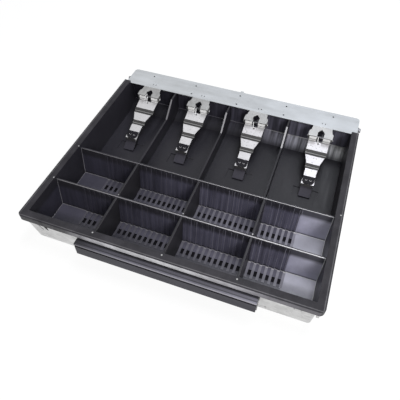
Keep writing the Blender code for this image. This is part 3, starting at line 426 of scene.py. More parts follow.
def makePlastic(name, levels, rough, specular, patch=0.25, grain=0.30, streak=0.0, plain=1.0,
                blue=cast["blue"], drawn=(9, 0.5, 0.5), fade=None, foot=None, lines=(), glints=(), pipGlints=()):
    # moulded plastic whose grey changes across the tray as painted light and shade, with patches and fine
    # specks
    d = plasticDetail
    material, tree, shader = startMaterial(name, tinted(levels[0][1]), rough, specular=specular)
    colour = byAcross(tree, levels, blue)
    patches = spread(tree, noise(tree, *d["patchNoise"]), *midNoise, patch, 0)
    colour = blendColours(tree, patches, colour, d["patchColour"])
    if streak:                  # upright marks, fewer on the plain wall past the last rib
        marks = spread(tree, noise(tree, *d["streakNoise"]), *midNoise, streak, 0)
        ribbed = spread(tree, axis(tree, "X"), *d["lastRib"], 1, plain)
        colour = blendColours(tree, reckon(tree, "MULTIPLY", marks, ribbed), colour, d["streakColour"])
    if fade:                    # painted shade: darker towards one end along an axis
        side, dark, clear = fade
        share = spread(tree, axis(tree, side), dark, clear, d["fadeShare"], 0)
        colour = blendColours(tree, share, colour, tinted(d["shadeLevel"]))
    if foot:                    # a painted shadow line along the foot of the walls
        share = spread(tree, axis(tree, "Z"), *foot, d["footShadeShare"], 0)
        colour = blendColours(tree, share, colour, tinted(d["shadeLevel"]))
    if lines:                   # painted shade: darker bands that run across the tray
        shares = rampAlong(tree, axis(tree, "Y"), lines[0][0], lines[-1][0],
                           [(y, grey(share)) for y, share in lines])
        colour = blendColours(tree, shares, colour, d["shadeLineColour"])
    for spot in glints:         # painted highlights: narrow glint lines across the tray
        away = reckon(tree, "ABSOLUTE", reckon(tree, "SUBTRACT", axis(tree, "Y"), spot), 0)
        shine = byAcross(tree, d["glintLevels"], d["lightBlue"])
        colour = blendColours(tree, spread(tree, away, *d["glintWidth"], d["glintShare"], 0), colour, shine)
    specks = spread(tree, noise(tree, *d["speckNoise"]), *d["speckSpan"], 0, grain)
    colour = blendColours(tree, specks, colour, tinted(d["speckLevel"], d["lightBlue"]))
    for x, y in pipGlints:          # small pips, painted as round highlights
        away = addNode(tree, "ShaderNodeVectorMath", operation="DISTANCE")
        away.inputs[1].default_value = (x, y, 0)
        tree.links.new(objectPlace(tree, (1, 1, 0)), away.inputs[0])
        share = spread(tree, away.outputs["Value"], *d["pipGlintWidth"], 1, 0)
        colour = blendColours(tree, share, colour, d["pipGlintColour"])
    tree.links.new(colour, shader.inputs["Base Color"])
    sheen = noise(tree, *d["sheenNoise"], stretch=drawn)
    tree.links.new(spread(tree, sheen, *midNoise, rough - d["roughDown"], rough + d["roughUp"]),
                   shader.inputs["Roughness"])
    surfaceBump(tree, shader, noise(tree, *d["skinNoise"]), *d["skin"])
    return material


zincDetail = {
    "crystals": 170, "crystalStretch": (1, 1, 1.3), "crystalShare": 0.45, "cloudNoise": (45, 5, 0.65),
    "cloudShare": 0.55, "roughDown": 0.08, "roughUp": 0.12,
    "skinNoise": (600, 3, 0.6), "skin": (0.08, 0.0002),
}


def makeGalvanised(name, dark, light, rough):
    # zinc with its crystal patches
    d = zincDetail
    material, tree, shader = startMaterial(name, light, rough, metallic=1.0)
    crystals = addNode(tree, "ShaderNodeTexVoronoi", {"Scale": d["crystals"], "Randomness": 1.0})
    tree.links.new(objectPlace(tree, d["crystalStretch"]), crystals.inputs["Vector"])
    tone = addNode(tree, "ShaderNodeSeparateColor")
    tree.links.new(crystals.outputs["Color"], tone.inputs["Color"])
    cloud = noise(tree, *d["cloudNoise"])
    share = reckon(tree, "ADD", reckon(tree, "MULTIPLY", tone.outputs["Red"], d["crystalShare"]),
                   spread(tree, cloud, *midNoise, 0, d["cloudShare"]))
    tree.links.new(blendColours(tree, share, dark, light), shader.inputs["Base Color"])
    tree.links.new(spread(tree, tone.outputs["Green"], 0, 1, rough - d["roughDown"], rough + d["roughUp"]),
                   shader.inputs["Roughness"])
    surfaceBump(tree, shader, noise(tree, *d["skinNoise"]), *d["skin"])
    return material


steelDetail = {
    "lineNoise": (90, 4, 0.7), "cloudNoise": (35, 3, 0.6), "roughDown": 0.06, "roughUp": 0.10,
    "skin": (0.05, 0.0002),
}


def makeBrushedSteel(name, dark, light, rough, stretch=(1, 1, 1), metallic=1.0, levels=None):
    # steel with drawn lines, here and there lighter or darker; levels are shares across the tray
    d = steelDetail
    material, tree, shader = startMaterial(name, light, rough, metallic=metallic)
    lines = noise(tree, *d["lineNoise"], stretch=stretch)
    cloud = noise(tree, *d["cloudNoise"])
    share = reckon(tree, "ADD", spread(tree, lines, *midNoise, 0, 0.5),
                   spread(tree, cloud, *midNoise, 0, 0.5))
    colour = blendColours(tree, share, dark, light)
    if levels:
        across = rampAlong(tree, axis(tree, "X"), *acrossTray, [(x, grey(level)) for x, level in levels])
        colour = blendColours(tree, 1.0, colour, across, "MULTIPLY")
    tree.links.new(colour, shader.inputs["Base Color"])
    tree.links.new(spread(tree, lines, *midNoise, rough - d["roughDown"], rough + d["roughUp"]),
                   shader.inputs["Roughness"])
    surfaceBump(tree, shader, lines, *d["skin"])
    return material


clipShape = {
    # the pins' places across the tray, and their axis; the arms slope down from it
    "places": (-0.1370, -0.0546, 0.0373, 0.1344), "pivotY": 0.1152, "pivotZ": 0.0419, "angle": 16.0,
    # width, segments, least angle and least length of the rounded edges
    "armEdge": (0.00022, 2, 40, 0.0009), "footEdge": (0.0003, 2, 35, 0.0008),
    "pinEdge": (0.0005, 4, 60, 0.0),
    # distances from the pin along the arm
    "knuckle": 0.0047, "bands": ((0.0208, 0.0302), (0.0437, 0.0520)), "capEnd": 0.0766, "reach": 0.0772,
    "capHalf": 0.0050, "capTop": -0.0017, "footTop": 0.0200, "armSmooth": 30,
    "pinRadius": 0.0015, "pinHalf": 0.0186, "pinSides": 28, "wireSmooth": 60,
    "wire": 0.0010, "wireRound": 4, "coilRadius": 0.0024, "pitch": 0.0017, "turns": 3, "pointsPerTurn": 28,
    "legTip": (-0.0091, -0.0024), "legTipX": -0.0013, "rearLeg": 0.0055,
    "markX": 0.0031, "markY": 0.0066, "markRadius": 0.0014, "markWire": 0.00032, "markSegments": (20, 8),
    # parts of a normal that tell the pin's ends, the knuckle's underside and the fronts of arm and shoe
    "pinEnd": 0.3, "under": -0.2, "tipFront": -0.4, "shoeFront": -0.35,
}


def alongArm(spot):
    # distance from the pin towards the foot, along the arm
    a = radians(clipShape["angle"])
    return -((spot.y - clipShape["pivotY"]) * cos(a) + (spot.z - clipShape["pivotZ"]) * sin(a))


def stationOf(tree):
    # the same distance, read in a material
    a = radians(clipShape["angle"])
    along = addNode(tree, "ShaderNodeVectorMath", operation="DOT_PRODUCT")
    along.inputs[1].default_value = (0, -cos(a), -sin(a))
    tree.links.new(objectPlace(tree), along.inputs[0])
    start = clipShape["pivotY"] * cos(a) + clipShape["pivotZ"] * sin(a)
    return reckon(tree, "ADD", along.outputs["Value"], start)


armDetail = {
    "colour": (0.66, 0.66, 0.665), "rough": 0.30, "metallic": 0.40, "blue": 1.01,
    "levels": [(-0.14, 0.48), (-0.05, 0.50), (0.04, 0.41), (0.14, 0.34)],
    "cloudNoise": (150, 3, 0.5), "cloudSpan": (0.35, 0.75),
    "poreNoise": (900, 2, 0.6), "poreSpan": (0.70, 0.76),
    "dull": (0.30, 0.30, 0.31), "dullShare": 0.10,
    "sheenNoise": (260, 3, 0.6), "sheen": (0.24, 0.38), "skinNoise": (500, 3, 0.5), "skin": (0.05, 0.0002),
}


def makeArmSteel(name):
    # bright pressed steel with a faint clouding and pores, darker towards the right arms as painted shade
    d = armDetail
    material, tree, shader = startMaterial(name, d["colour"], d["rough"], metallic=d["metallic"])
    colour = byAcross(tree, d["levels"], d["blue"])
    cloud = spread(tree, noise(tree, *d["cloudNoise"]), *d["cloudSpan"], 0, d["dullShare"])
    colour = blendColours(tree, cloud, colour, d["dull"])
    pores = spread(tree, noise(tree, *d["poreNoise"]), *d["poreSpan"], 0, d["dullShare"])
    colour = blendColours(tree, pores, colour, d["dull"])
    tree.links.new(colour, shader.inputs["Base Color"])
    sheen = spread(tree, noise(tree, *d["sheenNoise"]), *midNoise, *d["sheen"])
    tree.links.new(sheen, shader.inputs["Roughness"])
    surfaceBump(tree, shader, noise(tree, *d["skinNoise"]), *d["skin"])
    return material


bandDetail = {
    "colour": (0.055, 0.054, 0.053), "rough": 0.50, "specular": 0.25, "armLength": 0.080,
    "flat": (0.050, 0.049, 0.048), "edge": (0.034, 0.033, 0.033), "side": (0.040, 0.039, 0.039),
    "dark": (0.016, 0.016, 0.016), "light": (0.260, 0.256, 0.252), "sideWidth": 0.0016, "highlightHalf": 0.0008,
    "grainNoise": (700, 3, 0.6), "grainSpan": (0.40, 0.72), "grainShare": 0.30,
    "grain": (0.110, 0.108, 0.106),
    "skinNoise": (1200, 2, 0.5), "skin": (0.08, 0.0002),
}


def makeBandFinish(name):
    # the dark bands, with painted shading across each and a painted highlight line along its middle
    d = bandDetail
    material, tree, shader = startMaterial(name, d["colour"], d["rough"], specular=d["specular"])
    stops = [(0.0, d["flat"])]
    for first, last in clipShape["bands"]:
        middle = (first + last) / 2
        stops += [(first, d["edge"]), (first + d["sideWidth"], d["side"]),
                  (middle - d["highlightHalf"], d["dark"]), (middle, d["light"]),
                  (middle + d["highlightHalf"], d["dark"]), (last, d["edge"])]
    colour = rampAlong(tree, stationOf(tree), 0, d["armLength"], stops)
    grains = spread(tree, noise(tree, *d["grainNoise"]), *d["grainSpan"], 0, d["grainShare"])
    colour = blendColours(tree, grains, colour, d["grain"])
    tree.links.new(colour, shader.inputs["Base Color"])
    surfaceBump(tree, shader, noise(tree, *d["skinNoise"]), *d["skin"])
    return material


# the finishes themselves; levels are (place across the tray, grey), and these greys are mostly painted light
# and shade

alongHandle = (0.3, 4, 4)
plasticLooks = {
    "trayPlastic": {
        "levels": [(-0.18, 0.0215), (-0.09, 0.0170), (0.0, 0.0145), (0.18, 0.0110)],
        "rough": 0.38, "specular": 0.20, "patch": 0.20, "streak": 0.08, "blue": 1.24},
    "dividerPlastic": {
        "levels": [(-0.10, 0.022), (0.10, 0.026)], "rough": 0.40, "specular": 0.15, "blue": 1.12},
    "handlePlastic": {
        "levels": [(-0.10, 0.018), (-0.04, 0.027), (0.11, 0.024)],
        "rough": 0.38, "specular": 0.20, "patch": 0.15, "grain": 0.10, "blue": 1.35, "drawn": alongHandle},
    "footPlastic": {"levels": [(-0.14, 0.013), (0.14, 0.016)], "rough": 0.50, "specular": 0.05},
    "rimPlastic": {
        "levels": [(-0.18, 0.034), (-0.06, 0.036), (0.05, 0.040), (0.18, 0.036)],
        "rough": 0.55, "specular": 0.10, "patch": 0.55, "grain": 0.45, "blue": 1.10,
        # the pips on the rim, where round highlights are painted
        "pipGlints": ((-0.1755, -0.0325), (-0.1760, -0.0950), (0.1815, -0.0286), (-0.0870, -0.1545),
                  (0.0005, -0.1550), (0.0885, -0.1550))},
    # a painted highlight: the light line along the rim's top and the dashes beside the feet's pockets
    "rimHighlight": {
        "levels": [(-0.18, 0.080), (0.05, 0.12), (0.18, 0.075)],
        "rough": 0.40, "specular": 0.30, "patch": 0.60, "grain": 0.40, "blue": 1.02},
    # a painted reflection: the lip's face lighter in the middle, as the bright surroundings mirrored in it
    "lipReflection": {
        "levels": [(-0.16, 0.022), (-0.12, 0.034), (-0.085, 0.52), (0.00, 0.66), (0.10, 0.40), (0.125, 0.14),
                   (0.17, 0.11)],
        "rough": 0.45, "specular": 0.30, "patch": 0.45, "grain": 0.40, "blue": 1.10},
    # painted light on the coin walls: light past the last rib, with painted shade near the top and a painted
    # shadow line along the foot
    "coinWallShading": {
        "levels": [(-0.17, 0.042), (-0.09, 0.048), (0.0, 0.092), (0.09, 0.115), (0.1350, 0.12),
                   (0.1362, 0.42), (0.160, 0.50), (0.172, 0.60)],
        "rough": 0.42, "specular": 0.35, "patch": 0.25, "grain": 0.10, "streak": 0.45, "plain": 0.12,
        "blue": 1.44, "fade": ("Z", 0.0405, 0.0350), "foot": (0.0062, 0.0078)},
    # painted light on the coin floors: light past the last rib, with painted glints at the rear creases and
    # painted shade towards the front of each row
    "coinFloorShading": {
        "levels": [(-0.17, 0.088), (-0.10, 0.080), (0.0, 0.100), (0.09, 0.120), (0.1345, 0.12),
                   (0.1362, 0.58), (0.172, 0.64)],
        "rough": 0.35, "specular": 0.40, "patch": 0.20, "grain": 0.10, "blue": 1.34,
        "glints": (-0.0349, -0.0973),
        "lines": ((-0.1260, 0.78), (-0.1170, 0.48), (-0.1095, 0.05), (-0.0975, 0.0), (-0.0895, 0.32),
                  (-0.0350, 0.26))},
    # painted light on the rib tops, lighter towards the right, with painted glints and painted shade towards
    # the front
    "coinRibShading": {
        "levels": [(-0.17, 0.100), (-0.08, 0.085), (0.0, 0.150), (0.07, 0.19), (0.09, 0.22), (0.13, 0.27)],
        "rough": 0.35, "specular": 0.40, "patch": 0.15, "grain": 0.10, "blue": 1.20,
        "glints": (-0.0366, -0.0990), "fade": ("Y", -0.1360, -0.1060)},
    # a painted highlight on the ribs' edges
    "ribLine": {
        "levels": [(-0.17, 0.050), (-0.08, 0.060), (0.0, 0.14), (0.09, 0.24), (0.13, 0.30)],
        "rough": 0.35, "specular": 0.40, "patch": 0.35, "grain": 0.10, "blue": 1.25},
    # painted light on the note bays' rear walls, lighter towards the right
    "backWallShading": {
        "levels": [(-0.17, 0.026), (-0.05, 0.055), (0.03, 0.100), (0.12, 0.19), (0.17, 0.20)],
        "rough": 0.40, "specular": 0.35, "patch": 0.25, "grain": 0.10, "streak": 0.75, "blue": 1.36},
    # a painted sheen on the ramps, strong on the right, with painted shade towards the ramp's foot
    "rampSheen": {
        "levels": [(-0.17, 0.020), (-0.05, 0.034), (0.03, 0.060), (0.08, 0.46), (0.14, 0.72), (0.17, 0.95)],
        "rough": 0.40, "specular": 0.35, "patch": 0.25, "grain": 0.10, "streak": 0.85, "blue": 1.36,
        "fade": ("Y", 0.1190, 0.1360)},
    # a painted highlight along the coin rows' creases
    "creaseLine": {
        "levels": [(-0.17, 0.20), (-0.05, 0.16), (0.05, 0.22), (0.13, 0.75), (0.17, 0.85)],
        "rough": 0.30, "specular": 0.40, "patch": 0.35, "grain": 0.10, "blue": 1.10},
    # a painted highlight along the crease between the ramps and the rear walls
    "rearCrease": {
        "levels": [(-0.17, 0.14), (-0.05, 0.12), (0.05, 0.30), (0.08, 0.85), (0.17, 0.80)],
        "rough": 0.30, "specular": 0.40, "patch": 0.75, "grain": 0.10, "blue": 1.20},
    # a lighter copy of the foot plastic: painted light on the shoe's front face, which sits in shade
    "footFrontLit": {"levels": [(-0.14, 0.040), (0.14, 0.050)], "rough": 0.60, "specular": 0.05, "blue": 1.2},
    "slotShade": {"levels": [(-0.17, 0.011), (0.17, 0.019)], "rough": 0.8, "specular": 0.02},
    # painted highlight on the walls' tops, the note walls' sloping edges and the dividers' nubs
    "crestGloss": {
        "levels": [(-0.17, 0.10), (-0.05, 0.17), (0.05, 0.36), (0.17, 0.46)],
        "rough": 0.25, "specular": 0.50, "patch": 0.15, "grain": 0.10, "blue": 1.04},
    # painted shading on the handle's top: darker on the left, with painted shade bands across it
    "handleTopShading": {
        "levels": [(-0.105, 0.020), (-0.07, 0.085), (0.06, 0.110), (0.116, 0.17)],
        "rough": 0.36, "specular": 0.30, "patch": 0.25, "grain": 0.10, "blue": 1.25, "drawn": alongHandle,
        "lines": ((-0.1712, 0.0), (-0.1698, 0.0), (-0.1692, 0.85), (-0.1684, 0.85), (-0.1678, 0.35),
                  (-0.1655, 0.35), (-0.1648, 0.90), (-0.1620, 0.90))},
    # a painted highlight along the handle's top front edge
    "handleHighlight": {
        "levels": [(-0.105, 0.060), (-0.05, 0.16), (0.116, 0.26)],
        "rough": 0.28, "specular": 0.45, "patch": 0.15, "grain": 0.0, "blue": 1.15, "drawn": alongHandle},
    "lipGrey": {
        "levels": [(-0.14, 0.028), (0.14, 0.040)],
        "rough": 0.60, "specular": 0.06, "patch": 0.45, "grain": 0.30, "blue": 1.02},
    # a painted highlight on the shoe's moulding marks
    "markHighlight": {
        "levels": [(-0.14, 0.30), (0.14, 0.35)],
        "rough": 0.25, "specular": 0.50, "patch": 0.0, "grain": 0.0, "blue": 1.0},
}
plastics = {name: makePlastic(name, **look) for name, look in plasticLooks.items()}
# a white, non-metal finish: a painted reflection on the knuckles, pin ends and spring legs, where the plated
# steel shines
knuckleShine = makeBrushedSteel("knuckleShine", grey(0.74), grey(0.90), 0.34, metallic=0.0)
# a darker copy of the plated steel: painted shade on the bar's sloping tongues and on the bracket
shadedSteel = makeBrushedSteel("shadedSteel", grey(0.20), (0.36, 0.36, 0.355), 0.50, (2.5, 1, 1), 0.85)
# a lighter copy of the plated steel: a painted highlight along the bar's fold
foldHighlight = makeBrushedSteel("foldHighlight", (0.72, 0.73, 0.74), (0.82, 0.82, 0.84), 0.35)
bandFinish = makeBandFinish("bandFinish")

finish = {                      # by the record's material slots
    "tray_plastic": plastics["trayPlastic"],
    "divider_plastic": plastics["dividerPlastic"],
    "handle_plastic": plastics["handlePlastic"],
    "foot_plastic": plastics["footPlastic"],
    "galvanised_steel": makeGalvanised("galvanisedSteel", grey(0.46), grey(0.69), 0.48),
    "plated_steel": makeBrushedSteel("platedSteel", (0.42, 0.435, 0.45), (0.52, 0.54, 0.56), 0.42,
                                     (0.15, 1, 1), levels=[(-0.17, 1.0), (0.17, 0.80)]),
    "clip_steel": makeArmSteel("clipSteel"),
    "spring_wire": makeBrushedSteel("springWire", (0.06, 0.06, 0.065), (0.12, 0.12, 0.125), 0.34),
    "dark_steel": makeBrushedSteel("darkSteel", (0.11, 0.11, 0.12), (0.20, 0.20, 0.21), 0.40),
}
print("finishes made")


# money tray

trayShape = {
    "halfWidth": 0.185, "front": -0.1628, "wallTop": 0.0485, "floorTop": 0.0044,
    # where the rim, its lip and its top face begin, and the painted highlight line along the top face
    "rimTop": 0.0516, "rimSide": 0.1835, "rimFront": -0.1610, "lipFront": -0.1620, "rimFace": 0.0539,
    "rimHighlightInsets": (0.0016, 0.0026),
    # the coin rows: their front and rear, the ribs' end, the end walls, the grooved floor's heights, and the
    # stretch of the middle wall's top without painted highlight
    "coinFront": -0.1512, "coinRear": -0.0292, "lastRib": 0.134, "ribsWithin": 0.140, "sideWalls": 0.160,
    "floorLow": 0.0036, "ribLow": 0.0047, "ribHigh": 0.0065, "slotLow": 0.0010, "slotHigh": 0.0043,
    "slotFloor": 0.0020, "crestSplit": (-0.0911, -0.0880),
    # the note bays: rear wall, ramp, low side walls, and the painted highlight dash beside each foot's
    # pocket
    "rearWall": 0.1330, "rearTop": 0.046, "rampFoot": 0.1165, "rampTop": 0.020, "rampCrease": 0.100,
    "creaseLow": 0.0040, "creaseHigh": 0.0170, "noteWalls": (-0.0980, -0.0085, 0.0848), "noteFront": -0.0280,
    "noteLow": 0.0075, "noteSlope": 0.0100, "noteHalf": 0.0010, "pocketLow": 0.0032, "pocketFront": -0.020,
    "dashFrom": 0.0095, "dashTo": 0.0190,
    # how near a face or edge has to be to a wall's top, middle or corner
    "topNear": 0.0005, "topUnder": 0.0002, "edgeNear": 0.001, "middleNear": 0.0006, "cornerNear": 0.0008,
    # part of a run or a normal that lies along an axis
    "straight": 0.99, "level": 0.97, "along": 0.95, "up": 0.9, "leaning": 0.8, "flat": 0.7, "mostly": 0.5,
    "barely": 0.2,
    # width, segments, least angle and least length of each rounding
    "crestEdge": (0.00050, 3, 30, 0.006), "wallEdge": (0.00030, 2, 30, 0.006),
    "creaseEdge": (0.00055, 2, 40, 0.0030), "ribEdge": (0.00030, 1, 40, 0.003),
    "topEdge": (0.00030, 2, 50, 0.0028), "topFrom": 0.0475,
}


def inCoins(spot):
    return trayShape["coinFront"] < spot.y < trayShape["coinRear"]


def makeTray():
    s = trayShape
    tray = startFromNode("money_tray", "moneyTray")
    addFinishes(tray, *(plastics[name] for name in (
        "trayPlastic", "crestGloss", "rimPlastic", "lipReflection", "coinWallShading", "coinFloorShading", "backWallShading",
        "slotShade", "coinRibShading", "ribLine", "rimHighlight", "creaseLine", "rampSheen", "rearCrease")))
    near, far = s["rimHighlightInsets"]
    dullFrom, dullTo = s["crestSplit"]
    markTray(tray)

    def onCrest(spot, normal):
        return abs(spot.z - s["wallTop"]) < s["topNear"] and normal.z > s["up"]

    def onRimHighlight(spot, normal):
        aside, ahead = s["halfWidth"] - abs(spot.x), spot.y - s["front"]
        return (spot.z > s["rimFace"] and normal.z > s["up"]
                and (near < aside < far and ahead > near or near < ahead < far and aside > near))

    def onCoinWall(spot, normal):
        return (inCoins(spot) and s["floorTop"] < spot.z < s["wallTop"] - s["topUnder"]
                and (abs(spot.x) < s["sideWalls"] or normal.x > s["mostly"]) and abs(normal.z) < s["mostly"])

    def inSlot(spot, normal):
        onSide = (s["slotLow"] < spot.z < s["slotHigh"] and normal.z > -s["barely"]
                  and abs(normal.z - 1) > s["mostly"])
        return inCoins(spot) and (onSide or s["slotFloor"] < spot.z < s["floorLow"])

    def onFloor(spot, normal, low):
        return inCoins(spot) and low < spot.z < s["ribHigh"] and normal.z > s["flat"]

    def onRamp(spot, normal):
        return spot.y > s["rampFoot"] and spot.z < s["rampTop"] and s["mostly"] < normal.z < s["level"]

    def onRearWall(spot, normal):
        return spot.y > s["rearWall"] and spot.z < s["rearTop"] and normal.y < -s["mostly"]

    rules = [
        ("rimPlastic", lambda spot, normal: spot.z > s["rimTop"] or abs(spot.x) > s["rimSide"]),
        ("rimHighlight", onRimHighlight),
        ("crestGloss", lambda spot, normal: inCoins(spot) and onCrest(spot, normal)),
        ("rimPlastic", lambda spot, normal: dullFrom < spot.y < dullTo and onCrest(spot, normal)),
        ("lipReflection", lambda spot, normal: normal.y < -s["flat"] and spot.y < s["lipFront"]),
        ("coinWallShading", onCoinWall),
        ("coinFloorShading", lambda spot, normal: onFloor(spot, normal, s["floorLow"])),
        ("coinRibShading", lambda spot, normal: onFloor(spot, normal, s["ribLow"])),
        ("backWallShading", onRearWall),
        ("rampSheen", onRamp),
        ("slotShade", inSlot),
    ]
    for name, test in rules:
        colourFaces(tray, name, test)
    # a painted highlight dash beside each foot's pocket
    for clipX in clipShape["places"]:
        colourFaces(tray, "rimHighlight", lambda spot, normal: s["pocketLow"] < spot.z < s["floorTop"]
                    and normal.z < s["leaning"] and spot.y > s["pocketFront"]
                    and s["dashFrom"] < spot.x - clipX < s["dashTo"])
    # a painted highlight on the note walls' sloping edges
    for wall in s["noteWalls"]:
        colourFaces(tray, "crestGloss", lambda spot, normal: abs(spot.x - wall) < s["middleNear"]
                    and spot.y > s["noteFront"] and spot.z > s["noteSlope"]
                    and s["barely"] < normal.z < s["level"])
    roundTray(tray)
    place(tray, "money_tray", "tray_plastic", keep=True)


def markTray(tray):
    # marks off the painted highlight line along the rim, the painted highlight dashes and the front half of
    # the middle wall's top, which keeps its painted crest highlight
    s = trayShape
    for side in (-1, 1):
        for inset in s["rimHighlightInsets"]:
            cutAcross(tray, (side * (s["halfWidth"] - inset), 0, 0), (1, 0, 0))
    for inset in s["rimHighlightInsets"]:
        cutAcross(tray, (0, s["front"] + inset, 0), (0, 1, 0))
    for clipX in clipShape["places"]:
        cutAcross(tray, (clipX + s["dashFrom"], 0, 0), (1, 0, 0))
    cutAcross(tray, (0, s["crestSplit"][0], 0), (0, 1, 0))


def roundTray(tray):
    s = trayShape
    dullFrom, dullTo = s["crestSplit"]

    def isCrest(spot, run, hollow):
        # the painted highlight edges on top of the cross walls
        return (not hollow and abs(run.x) > s["straight"] and abs(spot.z - s["wallTop"]) < s["edgeNear"]
                and inCoins(spot) and not dullFrom < spot.y < dullTo)

    def isRim(spot, run, hollow):
        return (not hollow and spot.z > s["rimFace"]
                and (abs(spot.x) > s["rimSide"] or spot.y < s["rimFront"]))

    def isWallEdge(spot, run, hollow):
        # the right edge of the note walls' low part
        beside = min(abs(spot.x - wall - s["noteHalf"]) for wall in s["noteWalls"])
        return (not hollow and beside < s["cornerNear"] and spot.y > s["noteFront"]
                and spot.z > s["noteLow"] and abs(run.y) > s["along"])

    def isCrease(spot, run, hollow):
        aside = abs(spot.x)
        return (hollow and spot.z >= s["creaseLow"] and inCoins(spot)
                and (aside > s["sideWalls"] or abs(run.x) > s["straight"] and aside > s["lastRib"]))

    def isRearCrease(spot, run, hollow):
        return (hollow and spot.y > s["rampCrease"] and s["creaseLow"] < spot.z < s["creaseHigh"]
                and abs(run.x) > s["straight"])

    def isRib(spot, run, hollow):
        return not hollow and inCoins(spot) and abs(run.z) > s["up"] and abs(spot.x) < s["ribsWithin"]

    def isTop(spot, run, hollow):
        return spot.z > s["topFrom"] and not isRim(spot, run, hollow)

    roundings = [
        ("crestEdge", isCrest, "crestGloss"), ("crestEdge", isRim, "rimPlastic"),
        ("wallEdge", isWallEdge, "rimPlastic"), ("creaseEdge", isCrease, "creaseLine"),
        ("creaseEdge", isRearCrease, "rearCrease"), ("ribEdge", isRib, "ribLine"), ("topEdge", isTop, ""),
    ]
    for edge, test, name in roundings:
        softenEdges(tray, *s[edge], test, name)


makeTray()
print("tray made")


# coin dividers

dividerShape = {
    "topEdge": (0.0005, 3, 30, 0.02), "topDepth": 0.001, "edge": (0.00025, 2, 60), "smooth": 45,
    "nubRadius": 0.0011, "nubIn": 0.0004, "nubSunk": 0.0003, "nubStretch": (1, 1.0, 0.6),
}


def makeDividers():
    s = dividerShape
    for row in ("front", "rear"):
        for number in (1, 2, 3):
            node = f"{row}_coin_divider_{number}"
            low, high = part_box(node)
            divider = startFromNode(node, f"{row}CoinDivider{number}")
            addFinishes(divider, finish["divider_plastic"], plastics["crestGloss"])
            softenEdges(divider, *s["topEdge"], lambda spot, run, hollow: spot.z > high.z - s["topDepth"])
            softenEdges(divider, *s["edge"])
            # a nub on the divider's top, painted light as a highlight
            nub = ((low.x + high.x) / 2, low.y + s["nubIn"] + s["nubRadius"], high.z - s["nubSunk"])
            addDome(divider, nub, s["nubRadius"], s["nubStretch"], "crestGloss")
            place(divider, node, "divider_plastic", s["smooth"], keep=True)


makeDividers()
print("dividers made")


# drawer pan with its runners, handle and bracket

panShape = {
    "edge": (0.00025, 2, 40, 0.0010), "screwEdge": (0.0004, 2, 50), "bracketEdge": (0.00025, 2, 40),
    # the front wall leans: it stands at wallY at the height wallZ
    "wallY": -0.1604, "wallZ": 0.0465, "slope": 0.2, "lean": 0.197,
    # middle, height, width and height of the plate behind the right slots and of the lanced tabs
    "cover": (0.1570, 0.0350, 0.0190, 0.0205),
    "coverSheet": 0.0004, "coverBehind": 0.0012, "coverEdge": 0.0001,
    "tabs": ((0.1585, 0.0292, 0.0016, 0.0036), (0.1652, 0.0268, 0.0018, 0.0050)),
    "tabSheet": 0.0012, "tabTilt": 14, "tabTurn": 16, "tabEdge": 0.0003,
    "grooveLow": 0.0393, "grooveTop": 0.0421, "grooveDepth": 0.0014, "lineDepth": 0.0007, "gripTop": 0.001,
    "gripSmooth": 10, "topUp": 0.8, "frontUp": 0.9, "foldSide": 0.5,
}


def wallAt(z):
    return panShape["wallY"] + panShape["slope"] * (panShape["wallZ"] - z)


def addTab(pan, x, z, width, height):
    # a small plate lanced out of the front wall, open at its lower edge
    s = panShape
    y = wallAt(z)
    openForParts(pan)
    bpy.ops.mesh.primitive_cube_add(size=1, location=(x, y - s["tabSheet"] / 2, z),
                                    scale=(width, s["tabSheet"], height))
    bpy.ops.transform.rotate(value=-radians(s["tabTilt"]), orient_axis="X",
                             center_override=(x, y, z + height / 2))
    bpy.ops.transform.rotate(value=-radians(s["tabTurn"]), orient_axis="Y", center_override=(x, y, z))
    bpy.ops.mesh.bevel(offset=s["tabEdge"], segments=2, affect="EDGES")
    closeParts(pan, "galvanisedSteel")


def coverSlots(pan):
    # the turned-in sheet behind the right corner's slots
    s = panShape
    x, z, width, height = s["cover"]
    spot = (x, wallAt(z) + s["coverBehind"], z)
    openForParts(pan)
    bpy.ops.mesh.primitive_cube_add(size=1, location=spot, scale=(width, s["coverSheet"], height))
    bpy.ops.transform.rotate(value=s["lean"], orient_axis="X", center_override=spot)
    bpy.ops.mesh.bevel(offset=s["coverEdge"], segments=1, affect="EDGES")
    closeParts(pan, "galvanisedSteel")


def makePan():
    s = panShape
    pan = startFromNode("drawer_pan", "drawerPan")
    addFinishes(pan, finish["galvanised_steel"])
    softenEdges(pan, *s["edge"], clamp=True)
    coverSlots(pan)
    for tab in s["tabs"]:
        addTab(pan, *tab)
    place(pan, "drawer_pan", "galvanised_steel")
    for side in ("left", "right"):
        dressNode(f"runner_{side}", f"runner{side.title()}", "galvanised_steel")
        dressNode(f"handle_screw_{side}", f"handleScrew{side.title()}", "dark_steel", s["screwEdge"])
    bracket = startFromNode("handle_bracket", "handleBracket")
    softenEdges(bracket, *s["bracketEdge"])
    # the bracket in painted shade, with its end faces painted dark as shade
    addFinishes(bracket, shadedSteel, plastics["lipGrey"])
    colourFaces(bracket, "lipGrey", lambda spot, normal: abs(normal.x) > s["foldSide"])
    place(bracket, "handle_bracket", "galvanised_steel", keep=True)


